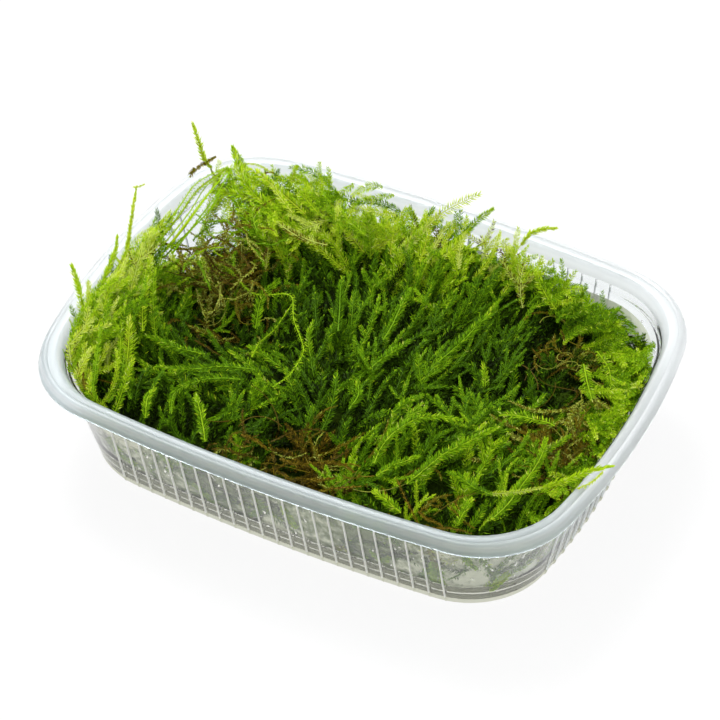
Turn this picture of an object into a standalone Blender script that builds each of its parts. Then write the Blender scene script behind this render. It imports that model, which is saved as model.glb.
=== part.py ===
"""A portion of live aquarium moss, packed loose in a clear rectangular food tub.

Units are metres, +Z is up and +X runs along the tub's long side. The origin is the centre of the
tub's flat base. The tub is one moulding. The moss is a tangled mat that fills it, with single
shoots lying on the mat or standing out of it.
"""

import math

import bmesh
import bpy
from mathutils import Vector

MM = 0.001

# Tub: insets are measured inwards from the outer edge of the lip.
TUB_HEIGHT = 32.0 * MM
HALF_LENGTH = 72.5 * MM
HALF_WIDTH = 54.4 * MM
LONG_SIDE_RADIUS = 518.0 * MM
SHORT_SIDE_RADIUS = 182.0 * MM
CORNER_RADIUS = 23.8 * MM
SKIRT_FLARE = 1.0 * MM
SKIRT_HEIGHT = 2.8 * MM
LIP_WIDTH = 2.7 * MM
LIP_THICKNESS = 0.8 * MM
FLOOR_THICKNESS = 0.8 * MM
WALL_TOP_INSET = 4.1 * MM
WALL_FOOT_INSET = 9.8 * MM
WALL_FOOT_HEIGHT = 1.2 * MM
WALL_THICKNESS = 0.9 * MM
STEP_HEIGHT = 27.2 * MM
STEP_DEPTH = 0.35 * MM
FOOT_FILLET = 1.2 * MM

# Outline: points on each quarter of the tub's outline, per arc.
SHORT_SIDE_STEPS = 3
CORNER_STEPS = 7
LONG_SIDE_STEPS = 5

# Ribs moulded on the outside of the wall.
RIB_PITCH = 4.0 * MM
RIB_WIDTH = 0.6 * MM
RIB_DEPTH = 0.35 * MM
RIB_FOOT_HEIGHT = 1.9 * MM
RIB_TOP_HEIGHT = 28.5 * MM
RIBS_PER_LONG_SIDE = 23
RIBS_PER_SHORT_SIDE = 13

# Moss mat.
CLEARANCE = 0.5 * MM
MAT_LEVEL = 25.5 * MM
MAT_EDGE_FALL = 4.0 * MM
MAT_EDGE_REACH = 9.0 * MM
MAT_RINGS = (0.95, 0.88, 0.78, 0.66, 0.53, 0.4, 0.27, 0.13)
# Each mound or hollow: centre x and y, reach in x and y, and height, in millimetres.
MAT_MOUNDS = (
    (-61, -12, 8, 20, 5.5),
    (-57, 27, 10, 13, -11.0),
    (-36, 36, 15, 9, 8.0),
    (6, 37, 30, 9, 6.0),
    (55, 14, 9, 22, 4.0),
    (28, -20, 18, 14, 2.5),
    (-35, -2, 12, 9, -8.0),
    (41, 7, 8, 7, -4.0),
    (4, -34, 15, 7, -3.5),
)
# Loose shoots that lie on the mat: thickness, then points (x, y) along the shoot, in millimetres.
LYING_SHOOTS = {
    "shoot_long_left": (2.4, ((-20, -18.5), (-27, -21), (-32, -24.5), (-36.5, -27), (-42, -28))),
    "shoot_upper_left": (2.4, ((-34, -18.5), (-39.5, -19.5), (-44.5, -20), (-49.5, -20.5))),
    "shoot_curved_left": (2.0, ((-21.5, -23), (-27, -25.5), (-31, -29), (-33.5, -34), (-31, -40))),
    "shoot_front_left": (2.6, ((-19, -44.5), (-21.5, -41), (-25, -36.5), (-28.5, -32.5))),
    "shoot_front_left_curl": (2.2, ((-36, -43.5), (-37.5, -40.5), (-38.5, -38), (-38.5, -35))),
    "shoot_centre_left": (2.4, ((-9, 3.5), (-12, 10), (-15.5, 17), (-17, 21))),
    "shoot_centre": (2.4, ((2.5, 5.5), (2, 11.5), (1, 18.5), (0.5, 24))),
    "shoot_centre_low": (2.4, ((5, -5), (6, -0.5), (7.5, 4.5), (8.5, 8))),
    "shoot_centre_sprig": (2.2, ((7, -20.5), (6.5, -15), (4, -10.5))),
    "shoot_centre_right": (2.6, ((18.5, 3.5), (20, 12), (21, 20), (22.5, 29))),
    "shoot_front_centre": (2.2, ((17.5, -18), (18.5, -13), (20.5, -8.5))),
    "shoot_back_right": (2.4, ((33, 36), (39, 35), (44, 33))),
    "shoot_right_edge": (2.2, ((52, 22.5), (57, 18), (60, 13.5))),
    "shoot_right_feathery": (2.2, ((51, 17), (54.5, 11.5), (58, 6.5))),
    "stem_right": (1.4, ((56, 5.5), (54.5, 2), (51, -0.3), (45.5, -0.3), (39, 1))),
    "shoot_herringbone": (2.2, ((53.5, -4.5), (48, -3.8), (43.5, -4.3), (40, -6))),
    "shoot_front_right": (2.8, ((53, -37), (54.5, -31), (55, -22), (55, -15), (53.5, -9))),
    "shoot_long_right": (2.8, ((31, -37), (32.5, -32), (35, -25), (38, -18.5), (41.5, -10.5))),
    "shoot_right_arc": (2.6, ((20.5, -33.5), (20, -29), (21, -23.5), (25, -17), (33, -13))),
    "shoot_front_arc": (2.2, ((23, -37), (25, -33), (27.5, -30), (29.5, -28))),
    "shoot_front_bright": (2.8, ((33, -44), (29, -42.8), (25, -42))),
    "shoot_right_cross": (2.2, ((50, -30.5), (45, -30.5), (41, -29.5), (38, -29.5))),
    "shoot_front_low": (2.2, ((46.5, -41.5), (46.5, -38), (46.5, -34))),
    "stem_brown_right": (1.4, ((36.5, -42), (39.5, -42.8), (43, -43))),
    "stem_brown_front": (1.6, ((-1, -40.5), (4, -40), (8.5, -36.5), (13, -35.5), (17, -37))),
    "stem_brown_short": (1.4, ((8, -43.5), (11, -43), (14, -41))),
    "stem_brown_left": (1.4, ((-12.5, -38.5), (-9, -38.5), (-5, -39.3))),
}
# Loose shoots that stand out of the mat: thickness, then points (x, y, z), in millimetres.
STANDING_SHOOTS = {
    "shoot_tall_back_left": (1.8, ((-61, 32.5, 38.5), (-62.5, 32, 41), (-64, 32.5, 45), (-67, 34.5, 49.5))),
    "shoot_thin_left": (1.4, ((-65, -3.5, 35), (-66, 0.5, 39.5), (-67, 4, 43), (-68.5, 9, 47))),
    "shoot_left_rim": (1.8, ((-65, -16, 33), (-65.5, -11.5, 36), (-66, -6.5, 38.5), (-67, -3.5, 41))),
    "shoot_left_overhang": (2.0, ((-65.5, -23, 32.5), (-67, -21.5, 35.5), (-69.5, -19, 37.5), (-72, -17, 40))),
    "shoot_back_left_corner": (2.0, ((-52.5, 36.8, 36), (-55.5, 37.4, 40), (-57.3, 37.5, 43))),
    "shoot_back_left_sprig": (1.8, ((-41.5, 38, 36), (-41, 39.5, 38.5), (-40.5, 40.5, 41))),
    "shoot_back_sprig": (1.8, ((-7, 42, 33.5), (-8.5, 42.5, 35.5), (-9.5, 42.5, 37.5))),
    "shoot_pale_back": (2.4, ((-4, 41, 34), (-1, 44.5, 37.5), (3, 47, 40.5), (7, 49.5, 43))),
    "shoot_back_upright": (2.2, ((5.5, 42, 34), (8, 45, 37.5), (12, 47, 42))),
    "shoot_back_hook": (1.6, ((20, 46.5, 33.5), (21.5, 49, 36), (24.5, 50.5, 37.5), (27.5, 51, 38.5))),
    "shoot_right_overhang": (1.8, ((60.5, -25.5, 31), (66.5, -22.5, 34), (70, -19.5, 35.5), (74, -17, 36.5))),
    "shoot_left_crest": (2.4, ((-63.6, -15.5, 32.5), (-62.8, -5, 35), (-62.3, 3, 37), (-61.5, 9.5, 38.5))),
    "shoot_left_crest_low": (2.2, ((-60.5, -23, 33), (-60, -13, 34.5), (-59, -5, 35))),
    "stem_back_left_arch": (1.2, ((-50, 39, 35.5), (-47.5, 39.5, 37), (-44.3, 39, 36.3))),
    "stem_left_arch_outer": (
        1.2,
        ((-60, -0.5, 34), (-58, 5, 36.5), (-57.5, 15.5, 38), (-58.5, 25.5, 38.5), (-58, 34, 37)),
    ),
    "stem_left_arch_inner": (
        1.2,
        ((-57.5, 2.5, 33), (-56, 9, 35), (-54, 18, 37), (-54.5, 27.5, 37.5), (-55, 35, 36)),
    ),
}
SHOOT_SAMPLES = 6
SHOOT_TIP_TAPER = 0.45

TUB_PLASTIC = (0.86, 0.90, 0.91, 0.35)
MAT_GREEN = (0.07, 0.16, 0.015, 1.0)
SHOOT_GREEN = (0.22, 0.42, 0.03, 1.0)
SHOOT_BROWN = (0.30, 0.17, 0.04, 1.0)


def remove_everything():
    for obj in list(bpy.data.objects):
        bpy.data.objects.remove(obj)


def material(name, colour, roughness, transmission=0.0):
    made = bpy.data.materials.new(name)
    made.use_nodes = True
    shader = made.node_tree.nodes["Principled BSDF"]
    shader.inputs["Base Color"].default_value = colour
    shader.inputs["Roughness"].default_value = roughness
    shader.inputs["Metallic"].default_value = 0.0
    shader.inputs["Transmission Weight"].default_value = transmission
    return made


def new_object(name, data, finish):
    obj = bpy.data.objects.new(name, data)
    obj.data.materials.append(finish)
    bpy.context.scene.collection.objects.link(obj)
    return obj


def arc(centre, radius, start, end, steps):
    """Points from start towards end, leaving out the last one."""
    for i in range(steps):
        angle = start + (end - start) * i / steps
        yield Vector((centre.x + radius * math.cos(angle), centre.y + radius * math.sin(angle)))


def outline(inset, corner_radius):
    """The tub's outline, moved inwards: two pairs of bowed sides joined by round corners."""
    half_length = HALF_LENGTH - inset
    half_width = HALF_WIDTH - inset
    long_centre = Vector((0.0, half_width - LONG_SIDE_RADIUS))
    short_centre = Vector((half_length - SHORT_SIDE_RADIUS, 0.0))
    # The corner's circle touches both side arcs from the inside.
    reach_long = LONG_SIDE_RADIUS - corner_radius
    reach_short = SHORT_SIDE_RADIUS - corner_radius
    between = short_centre - long_centre
    gap = between.length
    along = (gap * gap + reach_long**2 - reach_short**2) / (2 * gap)
    aside = math.sqrt(reach_long**2 - along**2)
    direction = between / gap
    corner = long_centre + direction * along + Vector((direction.y, -direction.x)) * aside
    from_short = corner - short_centre
    from_long = corner - long_centre
    short_end = math.atan2(from_short.y, from_short.x)
    long_end = math.atan2(from_long.y, from_long.x)
    quarter = [
        *arc(short_centre, SHORT_SIDE_RADIUS, 0.0, short_end, SHORT_SIDE_STEPS),
        *arc(corner, corner_radius, short_end, long_end, CORNER_STEPS),
        *arc(long_centre, LONG_SIDE_RADIUS, long_end, math.pi / 2, LONG_SIDE_STEPS),
        Vector((0.0, half_width)),
    ]
    left = [Vector((-p.x, p.y)) for p in reversed(quarter[:-1])]
    upper = quarter + left
    lower = [Vector((p.x, -p.y)) for p in reversed(upper[1:-1])]
    return upper + lower


def corner_radius_at(inset):
    """The corners stay nearly as round at the foot as at the lip."""
    return CORNER_RADIUS - 0.25 * inset


def ring(mesh, inset, height):
    return [mesh.verts.new((p.x, p.y, height)) for p in outline(inset, corner_radius_at(inset))]


def join_rings(mesh, lower, upper):
    count = len(lower)
    for i in range(count):
        j = (i + 1) % count
        mesh.faces.new((lower[i], lower[j], upper[j], upper[i]))


def outer_wall_inset(height):
    slope = (WALL_FOOT_INSET - WALL_TOP_INSET) / (TUB_HEIGHT - SKIRT_HEIGHT - WALL_FOOT_HEIGHT)
    return WALL_FOOT_INSET - (height - WALL_FOOT_HEIGHT) * slope


def inner_wall_inset(height):
    return outer_wall_inset(height) + WALL_THICKNESS


def on_wall(height, across, place, side):
    """The point of the outer wall at this height whose x (across=0) or y (across=1) is place."""
    inset = outer_wall_inset(height)
    loop = outline(inset, corner_radius_at(inset))
    for a, b in zip(loop, loop[1:] + loop[:1]):
        if side * a[1 - across] > 0 and min(a[across], b[across]) <= place < max(a[across], b[across]):
            share = (place - a[across]) / (b[across] - a[across])
            return a.lerp(b, share), (b - a).normalized()
    raise ValueError("the rib is past the end of the wall")


def rib_points(height, across, place, side):
    """One rib's four corners at this height, in the outline's order."""
    wall, sideways = on_wall(height, across, place, side)
    outward = Vector((sideways.y, -sideways.x))
    root = sideways * (RIB_WIDTH / 2)
    crest = sideways * (RIB_WIDTH / 3)
    raised = wall + outward * RIB_DEPTH
    return [wall - root, raised - crest, raised + crest, wall + root]


def turn(point):
    """A point's direction from the middle of the tub, from 0 to a full turn."""
    return math.atan2(point.y, point.x) % math.tau


def corner_points(height):
    inset = outer_wall_inset(height)
    return outline(inset, corner_radius_at(inset))


def plain_corner(index):
    """True for the outline's points that lie past the last rib on both sides of a corner."""
    past_long = RIB_PITCH * (RIBS_PER_LONG_SIDE - 1) / 2 + RIB_WIDTH
    past_short = RIB_PITCH * (RIBS_PER_SHORT_SIDE - 1) / 2 + RIB_WIDTH
    ends = [corner_points(height)[index] for height in (RIB_FOOT_HEIGHT, RIB_TOP_HEIGHT)]
    return all(abs(p.x) > past_long and abs(p.y) > past_short for p in ends)


def ribbed_ring(mesh, height):
    """The outer wall's outline with its ribs: sides from rib to rib, joined by the plain corners."""
    spans = [(turn(p), [p]) for i, p in enumerate(corner_points(height)) if plain_corner(i)]
    for across, count in ((0, RIBS_PER_LONG_SIDE), (1, RIBS_PER_SHORT_SIDE)):
        for side in (-1, 1):
            for i in range(count):
                corners = rib_points(height, across, (i - (count - 1) / 2) * RIB_PITCH, side)
                spans.append((turn((corners[0] + corners[3]) / 2), corners))
    spans = [(0.0 if math.tau - angle < 1e-6 else angle, points) for angle, points in spans]
    spans.sort(key=lambda span: span[0])
    return [mesh.verts.new((p.x, p.y, height)) for _, points in spans for p in points]


def join_uneven_rings(mesh, lower, upper):
    """Joins two rings that don't have the same number of points, with one row of triangles."""

    def turns(verts):
        angles = [math.remainder(turn(verts[0].co), math.tau)]
        for v in verts[1:] + verts[:1]:
            angles.append(angles[-1] + math.remainder(turn(v.co) - angles[-1], math.tau))
        return angles

    low_turns = turns(lower)
    high_turns = turns(upper)
    i = j = 0
    while i < len(lower) or j < len(upper):
        low = lower[i % len(lower)]
        high = upper[j % len(upper)]
        if j == len(upper) or (i < len(lower) and low_turns[i + 1] <= high_turns[j + 1]):
            i += 1
            mesh.faces.new((low, lower[i % len(lower)], high))
        else:
            j += 1
            mesh.faces.new((low, upper[j % len(upper)], high))


def tub(finish):
    """A thin-walled tub with a flat lip, a short skirt round the lip and a stacking step inside."""
    lip_underside = TUB_HEIGHT - LIP_THICKNESS
    skirt_bottom = TUB_HEIGHT - SKIRT_HEIGHT
    edge_round = 0.35 * MM
    foot = (
        (WALL_FOOT_INSET + FOOT_FILLET, 0.0),
        (WALL_FOOT_INSET + FOOT_FILLET * 0.3, WALL_FOOT_HEIGHT * 0.3),
        (WALL_FOOT_INSET, WALL_FOOT_HEIGHT),
    )
    lip_and_inside = (
        (WALL_TOP_INSET, skirt_bottom),
        (LIP_WIDTH + 0.2 * MM, lip_underside),
        (LIP_THICKNESS, lip_underside),
        (LIP_THICKNESS - SKIRT_FLARE, skirt_bottom),
        (-SKIRT_FLARE, skirt_bottom),
        (-edge_round, TUB_HEIGHT - 2 * edge_round),
        (edge_round, TUB_HEIGHT),
        (LIP_WIDTH, TUB_HEIGHT),
        (LIP_WIDTH + edge_round, TUB_HEIGHT - edge_round),
        (WALL_TOP_INSET - 0.1 * MM, TUB_HEIGHT - 4 * edge_round),
        (inner_wall_inset(STEP_HEIGHT) - STEP_DEPTH, STEP_HEIGHT + 0.4 * MM),
        (inner_wall_inset(STEP_HEIGHT), STEP_HEIGHT),
        (inner_wall_inset(WALL_FOOT_HEIGHT), WALL_FOOT_HEIGHT + FLOOR_THICKNESS),
        (inner_wall_inset(0.0) + 0.5 * MM, FLOOR_THICKNESS + 0.4 * MM),
        (inner_wall_inset(0.0) + 1.6 * MM, FLOOR_THICKNESS),
    )
    mesh = bmesh.new()
    below = [ring(mesh, inset, height) for inset, height in foot]
    above = [ring(mesh, inset, height) for inset, height in lip_and_inside]
    ribbed = [ribbed_ring(mesh, height) for height in (RIB_FOOT_HEIGHT, RIB_TOP_HEIGHT)]
    for rings in (below, ribbed, above):
        for lower, upper in zip(rings, rings[1:]):
            join_rings(mesh, lower, upper)
    join_uneven_rings(mesh, below[-1], ribbed[0])
    join_uneven_rings(mesh, ribbed[1], above[0])
    mesh.faces.new(below[0])
    mesh.faces.new(above[-1])
    bmesh.ops.recalc_face_normals(mesh, faces=mesh.faces)
    data = bpy.data.meshes.new("tub")
    mesh.to_mesh(data)
    mesh.free()
    data.shade_smooth()
    data.set_sharp_from_angle(angle=math.radians(35))
    return new_object("tub", data, finish)


def mound(x, y, centre_x, centre_y, reach_x, reach_y, height):
    across = ((x / MM - centre_x) / reach_x) ** 2
    along = ((y / MM - centre_y) / reach_y) ** 2
    return height * MM * math.exp(-across - along)


def mat_height(x, y, from_wall):
    """The mat's top, out to the tips of its shoots. It falls away towards the wall."""
    height = MAT_LEVEL + sum(mound(x, y, *m) for m in MAT_MOUNDS)
    unevenness = math.sin(x * 330 + 1.3) * math.cos(y * 410 - 0.6) + math.sin(x * 170 - y * 250)
    height += 0.35 * MM * unevenness
    near = max(0.0, 1.0 - from_wall / MAT_EDGE_REACH)
    return height - MAT_EDGE_FALL * near**2


def wall_distance(x, y):
    """How far a point is from the inside of the wall, measured straight out from the middle."""
    wall = outline(inner_wall_inset(MAT_LEVEL), corner_radius_at(inner_wall_inset(MAT_LEVEL)))
    angle = math.atan2(y, x)
    nearest = min(wall, key=lambda p: abs(math.remainder(math.atan2(p.y, p.x) - angle, math.tau)))
    return max(0.0, nearest.length - math.hypot(x, y))


def moss_mat(finish):
    """The tangled mat: one closed body that fills the tub, with its hollows and mounds on top."""
    mesh = bmesh.new()
    foot = inner_wall_inset(0.0) + 1.6 * MM + CLEARANCE
    low = WALL_FOOT_HEIGHT + FLOOR_THICKNESS + 0.2 * MM
    low_inset = inner_wall_inset(low) + CLEARANCE
    edge_inset = inner_wall_inset(STEP_HEIGHT) + CLEARANCE
    low_points = outline(low_inset, corner_radius_at(low_inset))
    rim_points = outline(edge_inset, corner_radius_at(edge_inset))
    rings = [
        ring(mesh, foot, FLOOR_THICKNESS + CLEARANCE),
        ring(mesh, low_inset, low),
    ]
    # The edge stops below the tub's step, and stays the same distance from the sloping wall.
    top = []
    for start, end in zip(low_points, rim_points):
        height = min(mat_height(end.x, end.y, 0.0), STEP_HEIGHT - CLEARANCE)
        place = start.lerp(end, (height - low) / (STEP_HEIGHT - low))
        top.append(mesh.verts.new((place.x, place.y, height)))
    rings.append(top)
    for share in MAT_RINGS:
        level = []
        for p in rim_points:
            place = p * share
            height = mat_height(place.x, place.y, p.length * (1 - share))
            level.append(mesh.verts.new((place.x, place.y, height)))
        rings.append(level)
    for lower, upper in zip(rings, rings[1:]):
        join_rings(mesh, lower, upper)
    mesh.faces.new(rings[0])
    middle = mesh.verts.new((0.0, 0.0, mat_height(0.0, 0.0, HALF_WIDTH)))
    last = rings[-1]
    for i in range(len(last)):
        mesh.faces.new((last[i], last[(i + 1) % len(last)], middle))
    bmesh.ops.recalc_face_normals(mesh, faces=mesh.faces)
    data = bpy.data.meshes.new("moss_mat")
    mesh.to_mesh(data)
    mesh.free()
    data.shade_smooth()
    return new_object("moss_mat", data, finish)


def smooth_path(points, samples):
    """Points along a smooth curve through the given ones."""
    ends = [points[0] * 2 - points[1], *points, points[-1] * 2 - points[-2]]
    path = []
    for i in range(samples + 1):
        place = i / samples * (len(points) - 1)
        k = min(int(place), len(points) - 2)
        t = place - k
        a, b, c, d = ends[k : k + 4]
        path.append(
            0.5 * (2 * b + (c - a) * t + (2 * a - 5 * b + 4 * c - d) * t**2 + (3 * b - a - 3 * c + d) * t**3)
        )
    return path


def shoot(name, thickness, points, finish):
    """A leafy shoot out to the tips of its leaves: a tube that narrows towards its growing tip."""
    curve = bpy.data.curves.new(name, "CURVE")
    curve.dimensions = "3D"
    curve.bevel_depth = thickness * MM / 2
    curve.bevel_resolution = 1
    curve.use_fill_caps = True
    spline = curve.splines.new("POLY")
    path = smooth_path(points, SHOOT_SAMPLES)
    spline.points.add(len(path) - 1)
    for i, point in enumerate(path):
        spline.points[i].co = (*point, 1.0)
        share = i / (len(path) - 1)
        spline.points[i].radius = min(1.0, 0.6 + 3 * share) * (1 - SHOOT_TIP_TAPER * share**2)
    return new_object(name, curve, finish)


def lying_points(thickness, points):
    """Lays a shoot on the mat, its axis half its thickness and a clearance above the surface."""
    lift = thickness * MM / 2 + 2.4 * CLEARANCE
    path = smooth_path([Vector((x * MM, y * MM, 0.0)) for x, y in points], 2 * len(points))
    return [
        Vector((p.x, p.y, mat_height(p.x, p.y, wall_distance(p.x, p.y)) + lift)) for p in path
    ]


def main():
    remove_everything()
    plastic = material("tub_plastic", TUB_PLASTIC, 0.25, transmission=0.8)
    tangled = material("moss_tangle", MAT_GREEN, 0.7)
    green = material("moss_shoot", SHOOT_GREEN, 0.6)
    brown = material("old_stem", SHOOT_BROWN, 0.7)
    tub(plastic)
    moss_mat(tangled)
    for name, (thickness, points) in LYING_SHOOTS.items():
        shoot(name, thickness, lying_points(thickness, points), brown if "brown" in name else green)
    for name, (thickness, points) in STANDING_SHOOTS.items():
        shoot(name, thickness, [Vector(p) * MM for p in points], green)


main()
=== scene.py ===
"""A portion of live aquarium moss, packed loose in a clear ribbed tub, around its CAD frame."""

import math

import bmesh
import bpy
import numpy as np
from mathutils import Matrix, Vector, noise
from mathutils.bvhtree import BVHTree


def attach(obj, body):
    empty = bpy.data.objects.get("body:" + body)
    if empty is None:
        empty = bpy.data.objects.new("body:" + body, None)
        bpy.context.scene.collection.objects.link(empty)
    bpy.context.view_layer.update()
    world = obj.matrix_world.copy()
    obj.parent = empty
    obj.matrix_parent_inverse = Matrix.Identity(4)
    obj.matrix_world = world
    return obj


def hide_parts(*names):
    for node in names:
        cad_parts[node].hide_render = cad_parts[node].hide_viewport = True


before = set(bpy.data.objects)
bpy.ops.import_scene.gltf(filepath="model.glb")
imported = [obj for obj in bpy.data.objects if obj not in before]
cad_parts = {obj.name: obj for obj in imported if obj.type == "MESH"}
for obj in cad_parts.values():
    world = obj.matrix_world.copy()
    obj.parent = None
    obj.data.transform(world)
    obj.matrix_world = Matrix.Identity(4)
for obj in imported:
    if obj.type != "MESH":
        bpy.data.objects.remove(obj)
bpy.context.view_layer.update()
MM = 0.001
rng = np.random.default_rng(20)


# ----------------------------------------------------------------------------
# Camera, floor and light. A long lens looks down on the tub from the front right, in a white
# studio with one large soft lamp overhead and a weaker one at the front.
CAMERA_TURN = math.radians(28.8055)
CAMERA_HEIGHT = math.radians(42.9856)
CAMERA_ROLL = math.radians(-1.2336)
CAMERA_DISTANCE = 0.7718
LOOK_AT = Vector((-0.0031, 0.0037, 0.020))

scene = bpy.context.scene


def put(name, data):
    """A new object in the scene for some data."""
    made = bpy.data.objects.new(name, data)
    scene.collection.objects.link(made)
    return made


lens = bpy.data.cameras.new("camera")
lens.sensor_width = 36.0
lens.lens = 156.48
lens.clip_start = 0.01
camera = put("camera", lens)
backwards = Vector(
    (
        math.sin(CAMERA_TURN) * math.cos(CAMERA_HEIGHT),
        -math.cos(CAMERA_TURN) * math.cos(CAMERA_HEIGHT),
        math.sin(CAMERA_HEIGHT),
    )
)
level = (-backwards).cross(Vector((0, 0, 1))).normalized()
above = level.cross(-backwards)
across = level * math.cos(CAMERA_ROLL) + above * math.sin(CAMERA_ROLL)
upward = above * math.cos(CAMERA_ROLL) - level * math.sin(CAMERA_ROLL)
place = LOOK_AT + backwards * CAMERA_DISTANCE
camera.matrix_world = Matrix(
    (
        (across.x, upward.x, backwards.x, place.x),
        (across.y, upward.y, backwards.y, place.y),
        (across.z, upward.z, backwards.z, place.z),
        (0.0, 0.0, 0.0, 1.0),
    )
)
scene.camera = camera

studio = bpy.data.worlds.new("studio")
studio.use_nodes = True
sky = studio.node_tree.nodes["Background"]
sky.inputs["Color"].default_value = (1.0, 1.0, 1.0, 1.0)
sky.inputs["Strength"].default_value = 0.78
scene.world = studio
scene.view_settings.view_transform = "Standard"


def soft_lamp(name, position, size, power):
    lamp = bpy.data.lights.new(name, "AREA")
    lamp.shape = "SQUARE"
    lamp.size = size
    lamp.energy = power
    holder = put(name, lamp)
    holder.location = position
    holder.rotation_euler = Vector(position).to_track_quat("Z", "Y").to_euler()


soft_lamp("lamp_overhead", (-0.35, 0.32, 0.85), 0.42, 10.0)
soft_lamp("lamp_front", (0.55, -0.7, 0.7), 0.7, 1.5)


# ----------------------------------------------------------------------------
# Materials are written as expressions on sockets: a Value wraps one socket, and its sums and
# products make the nodes. The floor's paint is the first.
def feed(node, **given):
    """Writes inputs of a node, by name or as i0, i1 and so on. A Value is linked."""
    for name, value in given.items():
        socket = node.inputs[int(name[1:]) if name[1:].isdigit() else name.replace("_", " ")]
        if isinstance(value, Value):
            value.tree.links.new(value.socket, socket)
        else:
            socket.default_value = value


class Value:
    """One socket in a material's tree."""

    def __init__(self, tree, socket=None):
        self.tree = tree
        self.socket = socket

    def node(self, kind, settings=None, **given):
        """A node of a kind. Its settings, or a ramp's stops, are set before its inputs."""
        made = self.tree.nodes.new(kind)
        for name, setting in (settings or {}).items():
            if name == "stops":
                elements = made.color_ramp.elements
                while len(elements) < len(setting):
                    elements.new(0.5)
                for element, (position, colour) in zip(elements, setting):
                    element.position = position
                    element.color = (*(colour if isinstance(colour, tuple) else (colour,) * 3), 1.0)
            else:
                setattr(made, name, setting)
        feed(made, **given)
        return made

    def get(self, made, output=0):
        return Value(self.tree, made.outputs[output])

    def math(self, operation, a, b):
        return self.get(self.node("ShaderNodeMath", {"operation": operation}, i0=a, i1=b))

    def __add__(self, other):
        return self.math("ADD", self, other)

    def __sub__(self, other):
        return self.math("SUBTRACT", self, other)

    def __rsub__(self, other):
        return self.math("SUBTRACT", other, self)

    def __mul__(self, other):
        return self.math("MULTIPLY", self, other)

    __radd__ = __add__
    __rmul__ = __mul__

    def here(self):
        """The place on the object."""
        return self.get(self.node("ShaderNodeTexCoord"), "Object")

    def parts(self):
        """The three numbers of a place."""
        split = self.node("ShaderNodeSeparateXYZ", Vector=self)
        return [self.get(split, k) for k in range(3)]

    def noise(self, **settings):
        return self.get(self.node("ShaderNodeTexNoise", Vector=self, **settings))

    def ramp(self, *stops):
        """This value through stops of a place and a colour, or a grey where that is a number."""
        return self.get(self.node("ShaderNodeValToRGB", {"stops": stops}, Fac=self))

    def bump(self, strength, distance):
        """A surface that follows this height."""
        heights = self.node("ShaderNodeBump", Height=self, Strength=strength, Distance=distance)
        return self.get(heights)

    def tinted(self, colour, amount):
        """This colour mixed with another one."""
        mixer = self.node("ShaderNodeMix", {"data_type": "RGBA"}, i0=amount, i6=self, i7=colour)
        return self.get(mixer, 2)

    def times(self, shade):
        """This colour darkened or lightened by a grey value."""
        scaled = self.node("ShaderNodeVectorMath", {"operation": "SCALE"}, i0=self, Scale=shade)
        return self.get(scaled)


def new_material(name):
    """A material, its Principled shader, and a Value to start its expressions from."""
    made = bpy.data.materials.new(name)
    made.use_nodes = True
    return made, made.node_tree.nodes["Principled BSDF"], Value(made.node_tree)


def mesh_from(name, shape):
    """A mesh with the faces of a bmesh, which isn't needed after it."""
    data = bpy.data.meshes.new(name)
    shape.to_mesh(data)
    shape.free()
    return data


# Floor: a plain white studio floor, which gives off a little light.
FLOOR_REACH = 3.0
floor_mesh = bmesh.new()
bmesh.ops.create_grid(floor_mesh, x_segments=1, y_segments=1, size=FLOOR_REACH)
floor_data = mesh_from("floor", floor_mesh)
floor = put("floor", floor_data)
floor_paint, shader, start = new_material("floor_paint")
feed(
    shader,
    Base_Color=(0.09, 0.09, 0.09, 1.0),
    Roughness=0.9,
    Specular_IOR_Level=0.1,
    Emission_Color=(1.0, 1.0, 1.0, 1.0),
    Emission_Strength=0.89,
)
floor_data.materials.append(floor_paint)


# ----------------------------------------------------------------------------
# Tub: one thin moulding in clear polypropylene. A loop of edges with the ribs in it is drawn up
# the outside, over the lip and down the inside, and closed at the floor and the underside.
TUB_HEIGHT = 32.0
HALF_LENGTH = 72.5
HALF_WIDTH = 54.4
LONG_SIDE_RADIUS = 518.0
SHORT_SIDE_RADIUS = 182.0
CORNER_RADIUS = 23.8
RIB_PITCH = 4.0
RIB_HALF_WIDTH = 0.22
RIB_DEPTH = 0.38
LONG_SIDE_RIBS = 23
SHORT_SIDE_RIBS = 13
CORNER_PARTS = 18
WALL = 0.9
WALL_SLOPE = 5.7 / 28.0
FOOT_INSET = 9.8
FOOT_HEIGHT = 1.2
STEP_HEIGHT = 27.2


def outer_inset(height):
    """How far the wall's outside is from the lip's edge at a height, inwards."""
    return FOOT_INSET - (height - FOOT_HEIGHT) * WALL_SLOPE


def inner_inset(height):
    return outer_inset(height) + WALL


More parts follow.
